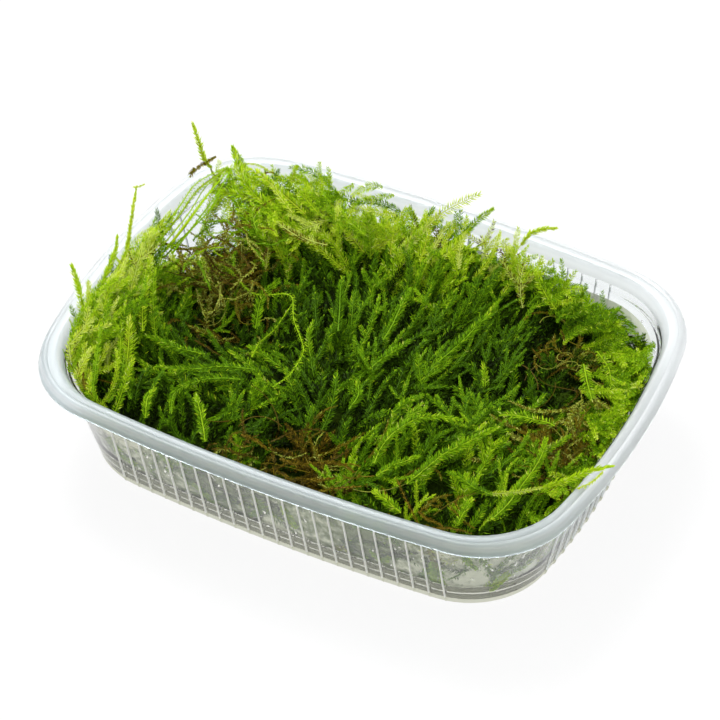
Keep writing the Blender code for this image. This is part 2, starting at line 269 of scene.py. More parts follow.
def outline(inset, parts=90):
    """The tub's outline, moved inwards, as points in millimetres, anticlockwise from +X."""
    radius = CORNER_RADIUS - 0.25 * inset
    long_centre = np.array((0.0, HALF_WIDTH - inset - LONG_SIDE_RADIUS))
    short_centre = np.array((HALF_LENGTH - inset - SHORT_SIDE_RADIUS, 0.0))
    reach_long = LONG_SIDE_RADIUS - radius
    reach_short = SHORT_SIDE_RADIUS - radius
    gap = np.linalg.norm(short_centre - long_centre)
    ahead = (short_centre - long_centre) / gap
    along = (gap**2 + reach_long**2 - reach_short**2) / (2 * gap)
    aside = math.sqrt(reach_long**2 - along**2)
    corner = long_centre + ahead * along + np.array((ahead[1], -ahead[0])) * aside
    short_end = math.atan2(*(corner - short_centre)[::-1])
    long_end = math.atan2(*(corner - long_centre)[::-1])
    quarter = []
    for centre, arc_radius, first, last in (
        (short_centre, SHORT_SIDE_RADIUS, 0.0, short_end),
        (corner, radius, short_end, long_end),
        (long_centre, LONG_SIDE_RADIUS, long_end, math.pi / 2),
    ):
        turn = np.linspace(first, last, parts, endpoint=False)
        quarter.append(centre + arc_radius * np.stack((np.cos(turn), np.sin(turn)), 1))
    quarter = np.concatenate(quarter)
    half = np.concatenate((quarter, ((0.0, HALF_WIDTH - inset),), quarter[:0:-1] * (-1, 1)))
    return np.concatenate((half, ((-(HALF_LENGTH - inset), 0.0),), half[:0:-1] * (1, -1)))


def tub_loop(inset):
    """Places round the tub and the way out from each, with four of them at every rib."""
    line = outline(inset)
    closed = np.vstack((line, line[:1]))
    steps = np.linalg.norm(np.diff(closed, axis=0), axis=1)
    run = np.concatenate(((0.0,), np.cumsum(steps)))
    total = run[-1]

    def run_at(axis, value, first, last):
        part = closed[first : last + 1, axis]
        order = np.argsort(part)
        return float(np.interp(value, part[order], run[first : last + 1][order]))

    count = len(line)
    quarter = count // 4
    stops = []
    short = [(i - (SHORT_SIDE_RIBS - 1) / 2) * RIB_PITCH for i in range(SHORT_SIDE_RIBS)]
    long = [(i - (LONG_SIDE_RIBS - 1) / 2) * RIB_PITCH for i in range(LONG_SIDE_RIBS)]
    right_up = [run_at(1, y, 0, quarter) for y in short if y >= 0]
    left = [run_at(1, y, quarter, 3 * quarter) for y in reversed(short)]
    right_down = [run_at(1, y, 3 * quarter, count) for y in short if y < 0]
    back = [run_at(0, x, 0, 2 * quarter) for x in reversed(long)]
    front = [run_at(0, x, 2 * quarter, count) for x in long]
    sides = (right_up, back, left, front, right_down)
    for number, ribs in enumerate(sides):
        for i, middle in enumerate(ribs):
            stops += [(middle - RIB_HALF_WIDTH, 0), (middle - RIB_HALF_WIDTH * 0.5, 1)]
            stops += [(middle + RIB_HALF_WIDTH * 0.5, 1), (middle + RIB_HALF_WIDTH, 0)]
            if i + 1 < len(ribs):
                stops += [((middle + ribs[i + 1]) / 2, 0)]
        if number + 1 < len(sides):
            ahead = sides[number + 1][0]
            begin = ribs[-1] + RIB_HALF_WIDTH
            end = ahead - RIB_HALF_WIDTH
            stops += [(begin + (end - begin) * k / CORNER_PARTS, 0) for k in range(1, CORNER_PARTS)]
    stops += [((right_down[-1] + right_up[0] + total) / 2, 0)]
    at = np.array([s for s, _ in stops]) % total
    crest = np.array([c for _, c in stops], float)

    def point(s):
        return np.stack([np.interp(s % total, run, closed[:, k]) for k in (0, 1)], 1)

    tangent = point(at + 0.8) - point(at - 0.8)
    tangent /= np.linalg.norm(tangent, axis=1, keepdims=True)
    outward = np.stack((tangent[:, 1], -tangent[:, 0]), 1)
    return point(at), outward, crest


# Up the outside, over the lip and down the inside: the inset from the lip's edge, the height, and
# how far the ribs stand out, in millimetres.
TUB_PROFILE = (
    (11.2, 0.0, 0.0),
    (10.5, 0.1, 0.0),
    (10.1, 0.45, 0.1),
    (9.85, 1.0, 0.3),
    (outer_inset(1.8), 1.8, RIB_DEPTH),
    (outer_inset(2.4), 2.4, RIB_DEPTH),
    (outer_inset(10.0), 10.0, RIB_DEPTH),
    (outer_inset(19.0), 19.0, RIB_DEPTH),
    (outer_inset(27.6), 27.6, RIB_DEPTH),
    (outer_inset(28.6), 28.6, 0.0),
    (4.0, 29.6, 0.0),
    (3.3, 30.8, 0.0),
    (2.7, 31.15, 0.0),
    (0.9, 31.15, 0.0),
    (0.5, 30.9, 0.0),
    (0.2, 30.2, 0.0),
    (-0.25, 29.3, 0.0),
    (-0.55, 29.15, 0.0),
    (-0.95, 29.25, 0.0),
    (-0.75, 30.2, 0.0),
    (-0.35, 31.4, 0.0),
    (-0.05, 31.8, 0.0),
    (0.4, 32.0, 0.0),
    (0.9, 32.0, 0.0),
    (1.15, 31.8, 0.0),
    (1.4, 31.92, 0.0),
    (2.3, 31.95, 0.0),
    (2.85, 32.0, 0.0),
    (3.1, 31.85, 0.0),
    (3.6, 31.0, 0.0),
    (4.1, 30.2, 0.0),
    (4.6, 29.0, 0.0),
    (4.95, 27.9, 0.0),
    (5.1, 27.5, 0.0),
    (5.5, 27.25, 0.0),
    (inner_inset(26.6), 26.6, 0.0),
    (inner_inset(18.0), 18.0, 0.0),
    (inner_inset(10.0), 10.0, 0.0),
    (inner_inset(1.7), 1.7, 0.0),
    (11.1, 1.2, 0.0),
    (11.7, 0.9, 0.0),
)

LIP_END = 32
FOOT_END = 6
FLOOR_START = 38
LIP_LOWEST = 28.7
SIDE, RIB, LIP, BASE = range(4)
tub_mesh = bmesh.new()
loop_count = len(tub_loop(0.0)[0])
seat = tub_mesh.verts.layers.int.new("seat")
first = bmesh.ops.create_circle(tub_mesh, segments=loop_count, radius=0.05, cap_ends=True)["verts"]
for face in tub_mesh.faces:
    face.material_index = BASE
for number, vert in enumerate(first):
    vert[seat] = number
rim_edges = list(tub_mesh.edges)
loop_verts = first
for station, (inset, height, rib) in enumerate(TUB_PROFILE):
    if station > 0:
        grown = bmesh.ops.extrude_edge_only(tub_mesh, edges=rim_edges)["geom"]
        loop_verts = [g for g in grown if isinstance(g, bmesh.types.BMVert)]
        fresh = set(loop_verts)
        edges = [g for g in grown if isinstance(g, bmesh.types.BMEdge)]
        rim_edges = [e for e in edges if all(v in fresh for v in e.verts)]
        in_lip = LIP_LOWEST < height and station < LIP_END
        for face in (g for g in grown if isinstance(g, bmesh.types.BMFace)):
            on_rib = rib > 0 and any(crest[v[seat]] > 0 for v in face.verts)
            face.material_index = RIB if on_rib else (LIP if in_lip else SIDE)
            if station < FOOT_END or station > FLOOR_START:
                face.material_index = BASE
    spots, outward, crest = tub_loop(inset)
    spots = spots + outward * (crest * rib)[:, None]
    for vert in loop_verts:
        x, y = spots[vert[seat]]
        vert.co = (x * MM, y * MM, height * MM)
for face in bmesh.ops.contextual_create(tub_mesh, geom=rim_edges)["faces"]:
    face.material_index = BASE
bmesh.ops.recalc_face_normals(tub_mesh, faces=tub_mesh.faces)
tub_data = mesh_from("clear_tub", tub_mesh)
tub_data.shade_smooth()
tub_data.set_sharp_from_angle(angle=math.radians(42))
clear_tub = put("clear_tub", tub_data)

CLEAR = (0.93, 0.965, 0.975)
SHADED_FRONT_LIP = (0.59, 0.675, 0.70)
FROST = (0.62, 0.63, 0.52)
WARM = (0.97, 0.975, 0.91)


def polypropylene(name, clearness, roughness, front=CLEAR, back=CLEAR, edge=None, gloss=0.25):
    """Slightly milky plastic. The lip is painted darker and bluer at the front, as painted shade, and
    paler at its edge, as a painted highlight.
    """
    made, shader, start = new_material(name)
    spot = start.here()
    cloud = spot.noise(Scale=120.0, Detail=3.0)
    fine = spot.noise(Scale=900.0, Detail=2.0)
    _, depth, height = spot.parts()
    to_back = depth * 8.0 + 0.5 + cloud * 0.04
    # On the lip, the darker, bluer front colour is painted shade, on the side turned away from the
    # lamp at the back.
    tint = to_back.ramp((0.12, front), (0.40, back))
    if edge:
        # From 0 at the skirt's lower edge to 1 at the top of the lip.
        up_the_lip = height * 333.0 - 9.66
        # Painted highlight: paler bands along the lower edge of the skirt and round the lip's outer
        # edge.
        stops = (0.10, 0.25), (0.45, 0.10), (0.62, 1.0), (0.88, 0.85), (0.97, 0.0)
        tint = tint.tinted((*edge, 1.0), up_the_lip.ramp(*stops))
    feed(
        shader,
        Base_Color=tint,
        Roughness=roughness + cloud * 0.06,
        Transmission_Weight=clearness,
        IOR=1.49,
        Specular_IOR_Level=gloss,
        Normal=fine.bump(0.08, 0.0002),
    )
    return made


for material in (
    polypropylene("clear_polypropylene", 0.985, 0.01, front=WARM),
    polypropylene("rib_polypropylene", 0.35, 0.28, front=WARM),
    # The lip: its darker front is painted shade and its paler edge a painted highlight.
    polypropylene(
        "lip_polypropylene", 0.86, 0.34, front=SHADED_FRONT_LIP, edge=(0.84, 0.88, 0.89), gloss=0.08
    ),
    polypropylene("frosted_base", 0.06, 0.45, front=FROST, back=FROST),
):
    tub_data.materials.append(material)
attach(clear_tub, "root")
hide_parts("tub")


# ----------------------------------------------------------------------------
# Fog: a thin film of condensation on the inside of the wall, patchy, up to where the moss ends.
# The wall at the back left corner is bare and dry.
FILM_GAP = 0.9
FILM_ROWS = 14
FILM_FOOT = 1.6
FILM_RISE = 24
film_foot = outline(inner_inset(FILM_FOOT) + FILM_GAP, parts=24)
film_head = outline(inner_inset(26.6) + FILM_GAP, parts=24)
dry = np.exp(-(((film_foot[:, 0] + 62) / 26) ** 2) - ((film_foot[:, 1] - 34) / 26) ** 2)
film_reach = 1 - 0.95 * np.clip(dry * 1.7, 0, 1)
film_mesh = bmesh.new()


def film_row(places, heights):
    rows = zip(places, heights)
    return [film_mesh.verts.new((x * MM, y * MM, z * MM)) for (x, y), z in rows]


wet_floor = outline(inner_inset(FILM_FOOT) + 16.0, parts=24)
film_verts = [film_row(wet_floor, np.full(len(wet_floor), 1.45))]
for row in range(FILM_ROWS):
    share = row / (FILM_ROWS - 1) * film_reach
    places = film_foot + (film_head - film_foot) * share[:, None]
    film_verts.append(film_row(places, FILM_FOOT + FILM_RISE * share))
for lower, upper in zip(film_verts, film_verts[1:]):
    for i in range(len(film_foot)):
        j = (i + 1) % len(film_foot)
        film_mesh.faces.new((lower[i], lower[j], upper[j], upper[i]))
film_data = mesh_from("fog_film", film_mesh)
film_data.shade_smooth()
film = put("fog_film", film_data)
fog, shader, start = new_material("condensation_with_painted_light")
spot = start.here()
patches = spot.noise(Scale=75.0, Detail=7.0, Roughness=0.72)
beads = spot.noise(Scale=520.0, Detail=3.0)
sideways, _, height = spot.parts()
# The film is painted paler towards the tub's ends and low down, as painted light on the wall there,
# and fades near the dry corner.
ends = start.math("MAXIMUM", start.math("ABSOLUTE", sideways, 0.0) - 0.034, 0.0)
low = start.math("MAXIMUM", 0.014 - height, 0.0)
paler = ends * 8.0 + low * 3.0
DRY_CORNER = (-0.062, 0.034, 0.012)
apart = start.node("ShaderNodeVectorMath", {"operation": "DISTANCE"}, i0=spot, i1=DRY_CORNER)
from_corner = start.get(apart, 1)
bare = start.math("MINIMUM", start.math("MAXIMUM", from_corner * 45.0 - 0.75, 0.0), 1.0)
cover = (patches * 0.75 + beads * 0.25).ramp((0.38, 0.50), (0.49, 0.76), (0.60, 0.92))
tint = (beads * 0.4 + patches * 0.6 + paler).ramp(
    (0.40, (0.22, 0.30, 0.11)), (0.49, (0.33, 0.41, 0.21)), (0.62, (0.98, 1.00, 0.84))
)
feed(shader, Base_Color=tint, Alpha=cover * bare, Roughness=0.6, Specular_IOR_Level=0.1)
film_data.materials.append(fog)
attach(film, "root")
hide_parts("tub")


# ----------------------------------------------------------------------------
# The heart of the mat: matted old moss, pressed dense in the tub under the live shoots, and painted
# very dark: partly its own colour, partly painted shade in the mat's depths.
# It is the mat's own solid, drawn in from the leaf tips and roughened.
mat_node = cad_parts["moss_mat"]
mat_shape = bmesh.new()
mat_shape.from_mesh(mat_node.data)
bmesh.ops.remove_doubles(mat_shape, verts=mat_shape.verts, dist=1e-6)
mat_surface = BVHTree.FromBMesh(mat_shape)

HEART_DEPTH = 4.6 * MM
HEART_GAP = 1.6 * MM
heart = mat_shape.copy()
for vert in heart.verts:
    flat = Vector((vert.co.x, vert.co.y, 0.0))
    vert.co -= flat.normalized() * min(HEART_GAP, flat.length)
    if vert.co.z > 10 * MM:
        vert.co.z = max(vert.co.z - HEART_DEPTH, 8 * MM)
bmesh.ops.subdivide_edges(heart, edges=heart.edges, cuts=2, use_grid_fill=True)
bmesh.ops.triangulate(heart, faces=heart.faces)
for vert in heart.verts:
    swell = noise.noise(vert.co * 180) * 1.3 + noise.noise(vert.co * 520) * 0.5
    inwards = Vector((vert.co.x, vert.co.y, 0.0)).normalized()
    if vert.co.z > 3 * MM:
        vert.co += Vector((0, 0, swell * MM)) - inwards * abs(swell) * 0.7 * MM
    # The front left corner holds less moss low down.
    to_left = max(0.0, min(1.0, (-vert.co.x / MM - 38) / 14))
    to_front = max(0.0, min(1.0, (-vert.co.y / MM - 14) / 12))
    corner = to_left * to_front
    vert.co -= inwards * corner * max(0.0, 16 - vert.co.z / MM) * 0.55 * MM
heart_data = mesh_from("mat_heart", heart)
heart_data.shade_smooth()
mat_heart = put("mat_heart", heart_data)

matted, shader, start = new_material("old_moss_and_painted_shade")
spot = start.here()
patches = spot.noise(Scale=140.0, Detail=4.0)
fibres = spot.noise(Scale=1300.0, Detail=3.0, Roughness=0.7)
# Near-black greens and browns: the old moss's own colour, darkened further as painted shade.
colour = (patches * 0.55 + fibres * 0.45).ramp(
    (0.30, (0.006, 0.011, 0.001)),
    (0.48, (0.016, 0.032, 0.002)),
    (0.60, (0.036, 0.064, 0.004)),
    (0.75, (0.066, 0.050, 0.010)),
)
rough = fibres.bump(0.9, 0.0006)
feed(shader, Base_Color=colour, Roughness=0.85, Specular_IOR_Level=0.02, Normal=rough)
heart_data.materials.append(matted)
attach(mat_heart, "root")
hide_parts("moss_mat")


# ----------------------------------------------------------------------------
# Leaves and shoots. A shoot is a thin stem with pointed leaves in rows along it. Each leaf is a
# blade folded along its middle, of two small faces. Hundreds of shoots are joined in one mesh.
# The map on them gives a leaf its tone across, from dark green to old brown, and its length up.
TONES = 16
INK, BOTTLE, DEEP, FOREST, GREEN, GRASS, FRESH, BRIGHT = range(8)
LIME, GLOW, YELLOW, PALE, OLIVE, KHAKI, RUST, BARK = range(8, 16)
TONE_COLOURS = (
    (0.006, 0.012, 0.001),
    (0.013, 0.030, 0.001),
    (0.025, 0.062, 0.001),
    (0.040, 0.102, 0.002),
    (0.064, 0.160, 0.002),
    (0.098, 0.230, 0.003),
    (0.150, 0.320, 0.004),
    (0.225, 0.430, 0.007),
    (0.380, 0.600, 0.010),
    (0.560, 0.780, 0.020),
    (0.740, 0.820, 0.050),
    (0.840, 0.920, 0.220),
    (0.150, 0.165, 0.006),
    (0.150, 0.120, 0.006),
    (0.260, 0.172, 0.012),
    (0.052, 0.038, 0.003),
)

leaf_skin, shader, start = new_material("moss_leaf_painted_shade_and_glints")
laid = start.get(start.node("ShaderNodeUVMap", {"uv_map": "OFBake"}))
tone, along, _ = laid.parts()
colour = tone.ramp(*(((i + 0.5) / TONES, c) for i, c in enumerate(TONE_COLOURS)))
# Each leaf is painted darker at its base and paler towards its tip: painted shade near the stem,
# where the leaves crowd, and painted light at the tip.
feed(shader, Base_Color=colour.times(0.38 + along * 1.05), Roughness=0.46, Specular_IOR_Level=0.04)
# Light comes through the fresh leaves, and hardly through the dark and the brown ones.
glow = start.get(start.node("ShaderNodeBsdfTranslucent", Color=(0.50, 0.72, 0.015, 1.0)))
glow_share = tone.ramp((0.0, 0.0), (0.35, 0.06), (0.55, 0.28), (0.74, 0.40), (0.78, 0.06), (1.0, 0.0))
opaque = start.get(shader)
blend = start.get(start.node("ShaderNodeMixShader", i0=glow_share, i1=opaque, i2=glow))
feed(leaf_skin.node_tree.nodes["Material Output"], Surface=blend)


class Shoots:
    """Many shoots that become one mesh."""

    def __init__(self):
        self.points = []
        self.corners = []
        self.map = []
        self.count = 0

    def add(self, points, corners, placed):
        self.points.append(points)
        self.corners.append(corners + self.count)
        self.map.append(placed)
        self.count += len(points)

    def build(self, name, slot, *nodes):
        points = kept_inside(np.concatenate(self.points))
        corners = np.concatenate(self.corners).astype(np.int32)
        placed = np.concatenate(self.map)
        data = bpy.data.meshes.new(name)
        data.vertices.add(len(points))
        data.vertices.foreach_set("co", (points * MM).astype(np.float32).ravel())
        data.loops.add(corners.size)
        data.loops.foreach_set("vertex_index", corners.ravel())
        data.polygons.add(len(corners))
        data.polygons.foreach_set("loop_start", np.arange(len(corners), dtype=np.int32) * 3)
        data.update(calc_edges=True)
        layer = data.uv_layers.new(name="OFBake")
        layer.data.foreach_set("uv", placed[corners.ravel()].astype(np.float32).ravel())
        data.shade_flat()
        data.materials.append(leaf_skin)
        piece = put(name, data)
        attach(piece, "root")
        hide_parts(*nodes)


step_line = outline(inner_inset(STEP_HEIGHT), parts=10)
step_ends = np.roll(step_line, -1, axis=0) - step_line
step_ends /= np.linalg.norm(step_ends, axis=1, keepdims=True)
step_out = np.stack((step_ends[:, 1], -step_ends[:, 0]), 1)


def wall_inset(height):
    """How far the inside of the tub is from the step's edge at a height, inwards."""
    return np.interp(
        height,
        (FOOT_HEIGHT, STEP_HEIGHT, 27.6, 30.6, 31.6, 32.3, 33.0),
        ((STEP_HEIGHT - FOOT_HEIGHT) * WALL_SLOPE, 0.0, -0.3, -1.4, -2.3, -2.8, -40.0),
    )


def from_wall(places, height):
    """Distance to the inside of the wall, and which stretch of it is nearest."""
    reach = (step_line[None] - places[:, None]) * step_out[None]
    reach = reach.sum(2) - wall_inset(height)[:, None]
    return reach.min(1), reach.argmin(1)


def press_in(points, gap, highest=math.inf):
    """Moves points in that are nearer to the tub's wall than the gap."""
    for _ in range(2):
        distance, nearest = from_wall(points[:, :2], np.minimum(points[:, 2], highest))
        push = np.clip(gap - distance, 0.0, None)
        points[:, :2] -= step_out[nearest] * push[:, None]


LEAF_GAP = 0.15
LOWEST_LEAF = 1.15
BATCH = 40000


def kept_inside(points):
    """The points, with those that would cross the tub's wall or floor pressed back inside it."""
    points = points.copy()
    for start_at in range(0, len(points), BATCH):
        press_in(points[start_at : start_at + BATCH], LEAF_GAP)
    points[:, 2] = np.maximum(points[:, 2], LOWEST_LEAF)
    return points


def smooth(points, count):
    """A smooth curve through points."""
    points = np.asarray(points, float)
    ends = np.vstack((2 * points[0] - points[1], points, 2 * points[-1] - points[-2]))
    at = np.linspace(0, len(points) - 1, count)
    k = np.minimum(at.astype(int), len(points) - 2)
    t = (at - k)[:, None]
    a, b, c, d = (ends[k + i] for i in range(4))
    square = 2 * a - 5 * b + 4 * c - d
    cube = 3 * b - a - 3 * c + d
    return 0.5 * (2 * b + (c - a) * t + square * t**2 + cube * t**3)


# The ways a shoot's flat side can face.
UP = (0.0, 0.0, 1.0)
TO_FRONT = (0.3, -0.6, 0.75)
# The three corners of a stem, in radians round it.
STEM_CORNERS = (0.5, 2.6, 4.7)


def unit(vectors):
    return vectors / np.maximum(np.linalg.norm(vectors, axis=-1, keepdims=True), 1e-9)


def stem(store, path, radius, tone, facing=UP):
    """A thin three-sided stem that narrows to its tip."""
    path = np.asarray(path, float)
    count = len(path)
    ahead = unit(np.gradient(path, axis=0))
    side = unit(np.cross(ahead, np.asarray(facing)))
    over = np.cross(side, ahead)
    thin = radius * np.linspace(1.0, 0.4, count)[:, None]
    rings = []
    for turn in STEM_CORNERS:
        rings.append(path + side * math.cos(turn) * thin + over * math.sin(turn) * thin)
    points = np.stack(rings, 1).reshape(-1, 3)
    corners = []
    for i in range(count - 1):
        for j in range(3):
            a, b = 3 * i + j, 3 * i + (j + 1) % 3
            corners += [(a, b, b + 3), (a, b + 3, a + 3)]
    placed = np.zeros((len(points), 2))
    placed[:, 0] = (tone + 0.5 + 0.3 * (np.tile((0, 1, 2), count) - 1)) / TONES
    placed[:, 1] = np.repeat(np.linspace(0.4, 0.65, count), 3)
    store.add(points, np.array(corners), placed)


# Where along a leaf it is widest, how far its tip bends forward, and how deep it is folded.
WIDEST = 0.38
TIP_FORWARD = 0.14
FOLD = 0.09


def leafy(store, path, tone, leaf, broad, rows, spacing,
          facing=UP, stem_tone=None, opening=58.0, tip_tone=None, thick=0.15):
    """A stem with rows of leaves, each row at its own turn in degrees round the stem."""
    path = np.asarray(path, float)
    steps = np.linalg.norm(np.diff(path, axis=0), axis=1)
    run = np.concatenate(((0.0,), np.cumsum(steps)))
    stem(store, path, thick, (tone if stem_tone is None else stem_tone), facing)
    each = max(3, int(run[-1] / spacing))
    share = (np.arange(each)[:, None] + np.arange(len(rows))[None] / len(rows)).ravel() / each
    share = np.clip(share + rng.normal(0, 0.2 / each, share.size), 0.0, 1.0)
    azimuth = np.radians(np.tile(rows, each) + rng.normal(0, 14, share.size))
    at = share * run[-1]
    base = np.stack([np.interp(at, run, path[:, k]) for k in range(3)], 1)
    slopes = unit(np.gradient(path, axis=0))
    ahead = unit(np.stack([np.interp(at, run, slopes[:, k]) for k in range(3)], 1))
    side = unit(np.cross(ahead, np.asarray(facing, float)))
    over = np.cross(side, ahead)
    radial = np.cos(azimuth)[:, None] * side + np.sin(azimuth)[:, None] * over
    opened = np.radians(opening - 30 * share**4 + rng.normal(0, 9, share.size))[:, None]
    blade = np.cos(opened) * ahead + np.sin(opened) * radial
    taper = leaf * np.minimum(1.0, 0.55 + 3.0 * share) * (1 - 0.5 * share**5)
    size = (taper * rng.uniform(0.75, 1.2, share.size))[:, None]
    flat = np.cross(ahead, radial)
    twist = np.radians(rng.uniform(15, 80, share.size) * rng.choice((-1, 1), share.size))[:, None]
    wide = unit(np.cos(twist) * flat + np.sin(twist) * np.cross(blade, flat))
    up = np.cross(wide, blade)
    half = broad * 0.5
    middle = base + blade * size * WIDEST + up * FOLD
    tip = base + blade * size + ahead * size * TIP_FORWARD
    points = np.stack((base, middle - wide * half, middle + wide * half, tip), 1).reshape(-1, 3)
    corners = (np.arange(len(base)) * 4)[:, None, None] + np.array(((0, 3, 1), (0, 2, 3)))
    # Leaves differ in tone at random; 6 in 100 are painted 3.5 tones paler, as painted glints of wet
    # leaves.
    shade = tone + rng.normal(0, 0.9, share.size) + 3.5 * (rng.random(share.size) < 0.06)
    # Towards the shoot's tip the leaves go to the tip tone: paler young growth, and partly a painted
    # highlight.
    if tip_tone is not None:
        shade = shade + (tip_tone - tone) * share**2
    shade = np.clip(shade, 0.0, TONES - 1.0)
    if tone <= PALE:
        shade = np.minimum(shade, PALE)
    placed = np.zeros((len(points), 2))
    placed[:, 0] = ((shade[:, None] + 0.5 + np.array((0.0, -0.3, 0.3, 0.0))) / TONES).ravel()
    placed[:, 1] = np.tile((0.04, 0.45, 0.5, 0.97), len(base))
    store.add(points, corners.reshape(-1, 3), placed)


def branch(store, path, tone, leaf, count, facing=UP, **habit):
    """Short side shoots that leave a shoot at a slant, alternately left and right."""
    path = np.asarray(path, float)
    for number in range(count):
        at = rng.uniform(0.15, 0.8) * (len(path) - 1)
        low = int(at)
        begin = path[low] + (path[low + 1] - path[low]) * (at - low)
        ahead = unit(path[low + 1] - path[low])
        side = unit(np.cross(ahead, np.asarray(facing, float))) * (1 if number % 2 else -1)
        slant = math.radians(rng.uniform(32, 58))
        way = ahead * math.cos(slant) + side * math.sin(slant)
        way = way + np.array((0, 0, rng.uniform(-0.1, 0.35)))
        share = np.linspace(0, 1, 5)[:, None]
        long = rng.uniform(2.5, 6.0)
        twig = begin + way * share * long + ahead * (share**2) * long * 0.3
        leafy(store, twig, tone, leaf=leaf * 0.8, facing=facing, **habit)


HIGH_ABOVE = 0.2
EDGE_HEIGHT = 22.0


def ground(x, y):
    """The top of the mat at a place, or None outside it."""
    hit = mat_surface.ray_cast(Vector((x * MM, y * MM, HIGH_ABOVE)), Vector((0, 0, -1)))[0]
    return None if hit is None else hit.z / MM


def ground_line(places):
    """The mat's top under each place, or its edge's height where a place is just outside it."""
    heights = []
    for x, y in places:
        for pull in (1.0, 0.97, 0.93, 0.88, 0.8):
            height = ground(x * pull, y * pull)
            if height is not None:
                break
        heights.append(EDGE_HEIGHT if height is None else height)
    return np.array(heights)


# ----------------------------------------------------------------------------
# How the moss lies: the way the shoots point in each part of the tub, in degrees from +X, with
# their tone, length and how far their tips lift.
LAY = (
    # x, y, heading, tone, length, lift
    (-64, -20, 95, LIME, 20, 2.0),
    (-63, -5, 88, GLOW, 20, 2.5),
    (-62, 6, 84, LIME, 16, 2.0),
    (-54, -20, 100, BRIGHT, 20, 1.5),
    (-53, -8, 95, FRESH, 18, 1.0),
    (-55, -35, 120, FRESH, 14, 0.5),
    (-48, -34, 90, GREEN, 12, 0.5),
    (-44, -36, 110, FOREST, 14, 1.0),
    (-44, -24, 175, GREEN, 18, 0.8),
    (-30, -24, 190, GREEN, 22, 1.2),
    (-28, -38, 120, GREEN, 16, 1.8),
    (-40, -14, 150, GREEN, 14, 0.5),
    # The hollow at the centre left carries the darkest tones: painted shade in the recess.
    (-36, -4, 80, DEEP, 12, 0.0),
    (-30, 2, 90, FOREST, 12, 0.0),
    (-46, 6, 70, OLIVE, 10, 0.5),
    (-42, 12, 60, KHAKI, 10, 0.5),
    (-50, 20, 60, OLIVE, 10, 0.5),
    (-52, 36, 130, BRIGHT, 12, 2.0),
    (-42, 38, 165, LIME, 14, 2.0),
    (-40, 24, 170, FRESH, 14, 1.0),
    (-28, 40, 170, LIME, 14, 1.5),
    (-25, 28, 165, BRIGHT, 16, 1.0),
    (-28, 14, 150, GREEN, 14, 0.8),
    (-22, 12, 115, FOREST, 16, 0.8),
    (-12, 42, 120, LIME, 10, 2.0),
    (-8, 32, 110, LIME, 14, 1.0),
    (-10, 12, 112, GREEN, 20, 1.5),
    (-10, -8, 115, GREEN, 18, 1.2),
    (0, 42, 95, LIME, 10, 2.2),
    (4, 22, 95, FRESH, 22, 1.2),
    (6, 4, 82, GREEN, 22, 1.5),
    (4, -12, 100, GRASS, 18, 1.2),
    (14, 42, 80, BRIGHT, 12, 2.2),
    (18, 24, 80, GRASS, 26, 1.2),
    (20, 8, 78, GREEN, 26, 1.2),
    (14, -14, 72, GRASS, 18, 1.0),
    (30, 40, 60, GREEN, 14, 1.8),
    (31, 26, 70, FOREST, 22, 1.0),
    (33, 10, 74, FOREST, 18, 0.6),
    (42, 34, -20, GRASS, 16, 1.0),
    (46, 24, 20, OLIVE, 12, 1.0),
    # The hollow at the right carries the darkest tone: painted shade in the recess.
    (41, 10, 120, DEEP, 10, 0.0),
    (52, 28, -40, GREEN, 14, 1.2),
    (58, 16, -55, GRASS, 18, 0.8),
    (62, 8, -70, FRESH, 12, 0.8),
    (60, 2, -75, OLIVE, 14, 0.5),
    (54, -8, 170, OLIVE, 14, 0.6),
    (44, -6, 180, GREEN, 14, 0.8),
    (60, -14, 100, KHAKI, 12, 0.4),
    (60, -26, 85, GRASS, 16, 1.4),
    (52, -34, 95, FRESH, 22, 1.5),
    (42, -30, 80, GRASS, 18, 1.2),
    (34, -30, 68, GRASS, 24, 1.6),
    (30, -18, 60, GRASS, 22, 1.2),
    (22, -32, 75, GRASS, 20, 1.5),
    (28, -43, 150, FRESH, 12, 1.0),
    (44, -43, 60, GRASS, 14, 1.0),
    (8, -30, 70, GREEN, 14, 0.8),
    (2, -40, 10, BARK, 16, 0.4),
    (-4, -26, 150, FOREST, 14, 0.5),
    (-14, -42, 100, GREEN, 12, 1.2),
    (-14, -34, 20, FOREST, 12, 0.4),
    (-14, -24, 180, GREEN, 20, 1.0),
)
lay = np.array(LAY, float)


LAY_REACH = 8.0
TONE_REACH = 6.0


def lay_at(x, y):
    """Heading, tone, length and lift at a place: nearby shoots mostly agree."""
    away = (lay[:, 0] - x) ** 2 + (lay[:, 1] - y) ** 2
    pull = np.exp(-away / LAY_REACH**2) + 1e-9
    turn = np.radians(lay[:, 2])
    heading = math.atan2((pull * np.sin(turn)).sum(), (pull * np.cos(turn)).sum())
    pull_tone = np.exp(-away / TONE_REACH**2) + 1e-12
    nearest = rng.choice(len(lay), p=pull_tone / pull_tone.sum())
    length, lift = ((pull * lay[:, k]).sum() / pull.sum() for k in (4, 5))
    return heading, lay[nearest, 3], length, lift


LYING_GAP = 2.1


def lying_path(x, y, heading, length, sink, lift, bend, level, points):
    """A path that comes up out of the mat, follows its top and lifts at the tip."""
    share = np.linspace(0.0, 1.0, points)
    turn = heading + bend * (share - 0.5)
    step = length / (points - 1)
    places = np.stack((np.cos(turn), np.sin(turn)), 1) * step
    places = np.array((x, y)) + np.concatenate((np.zeros((1, 2)), np.cumsum(places[:-1], axis=0)))
    high = ground_line(places) + level - sink * (1 - share) ** 1.6 + lift * share**2
    path = np.column_stack((places, high))
    press_in(path, LYING_GAP, TUB_HEIGHT)
    return path


MAT_HALF_LENGTH = 66
MAT_HALF_WIDTH = 48
STEP_LEVEL = np.array((27.0,))


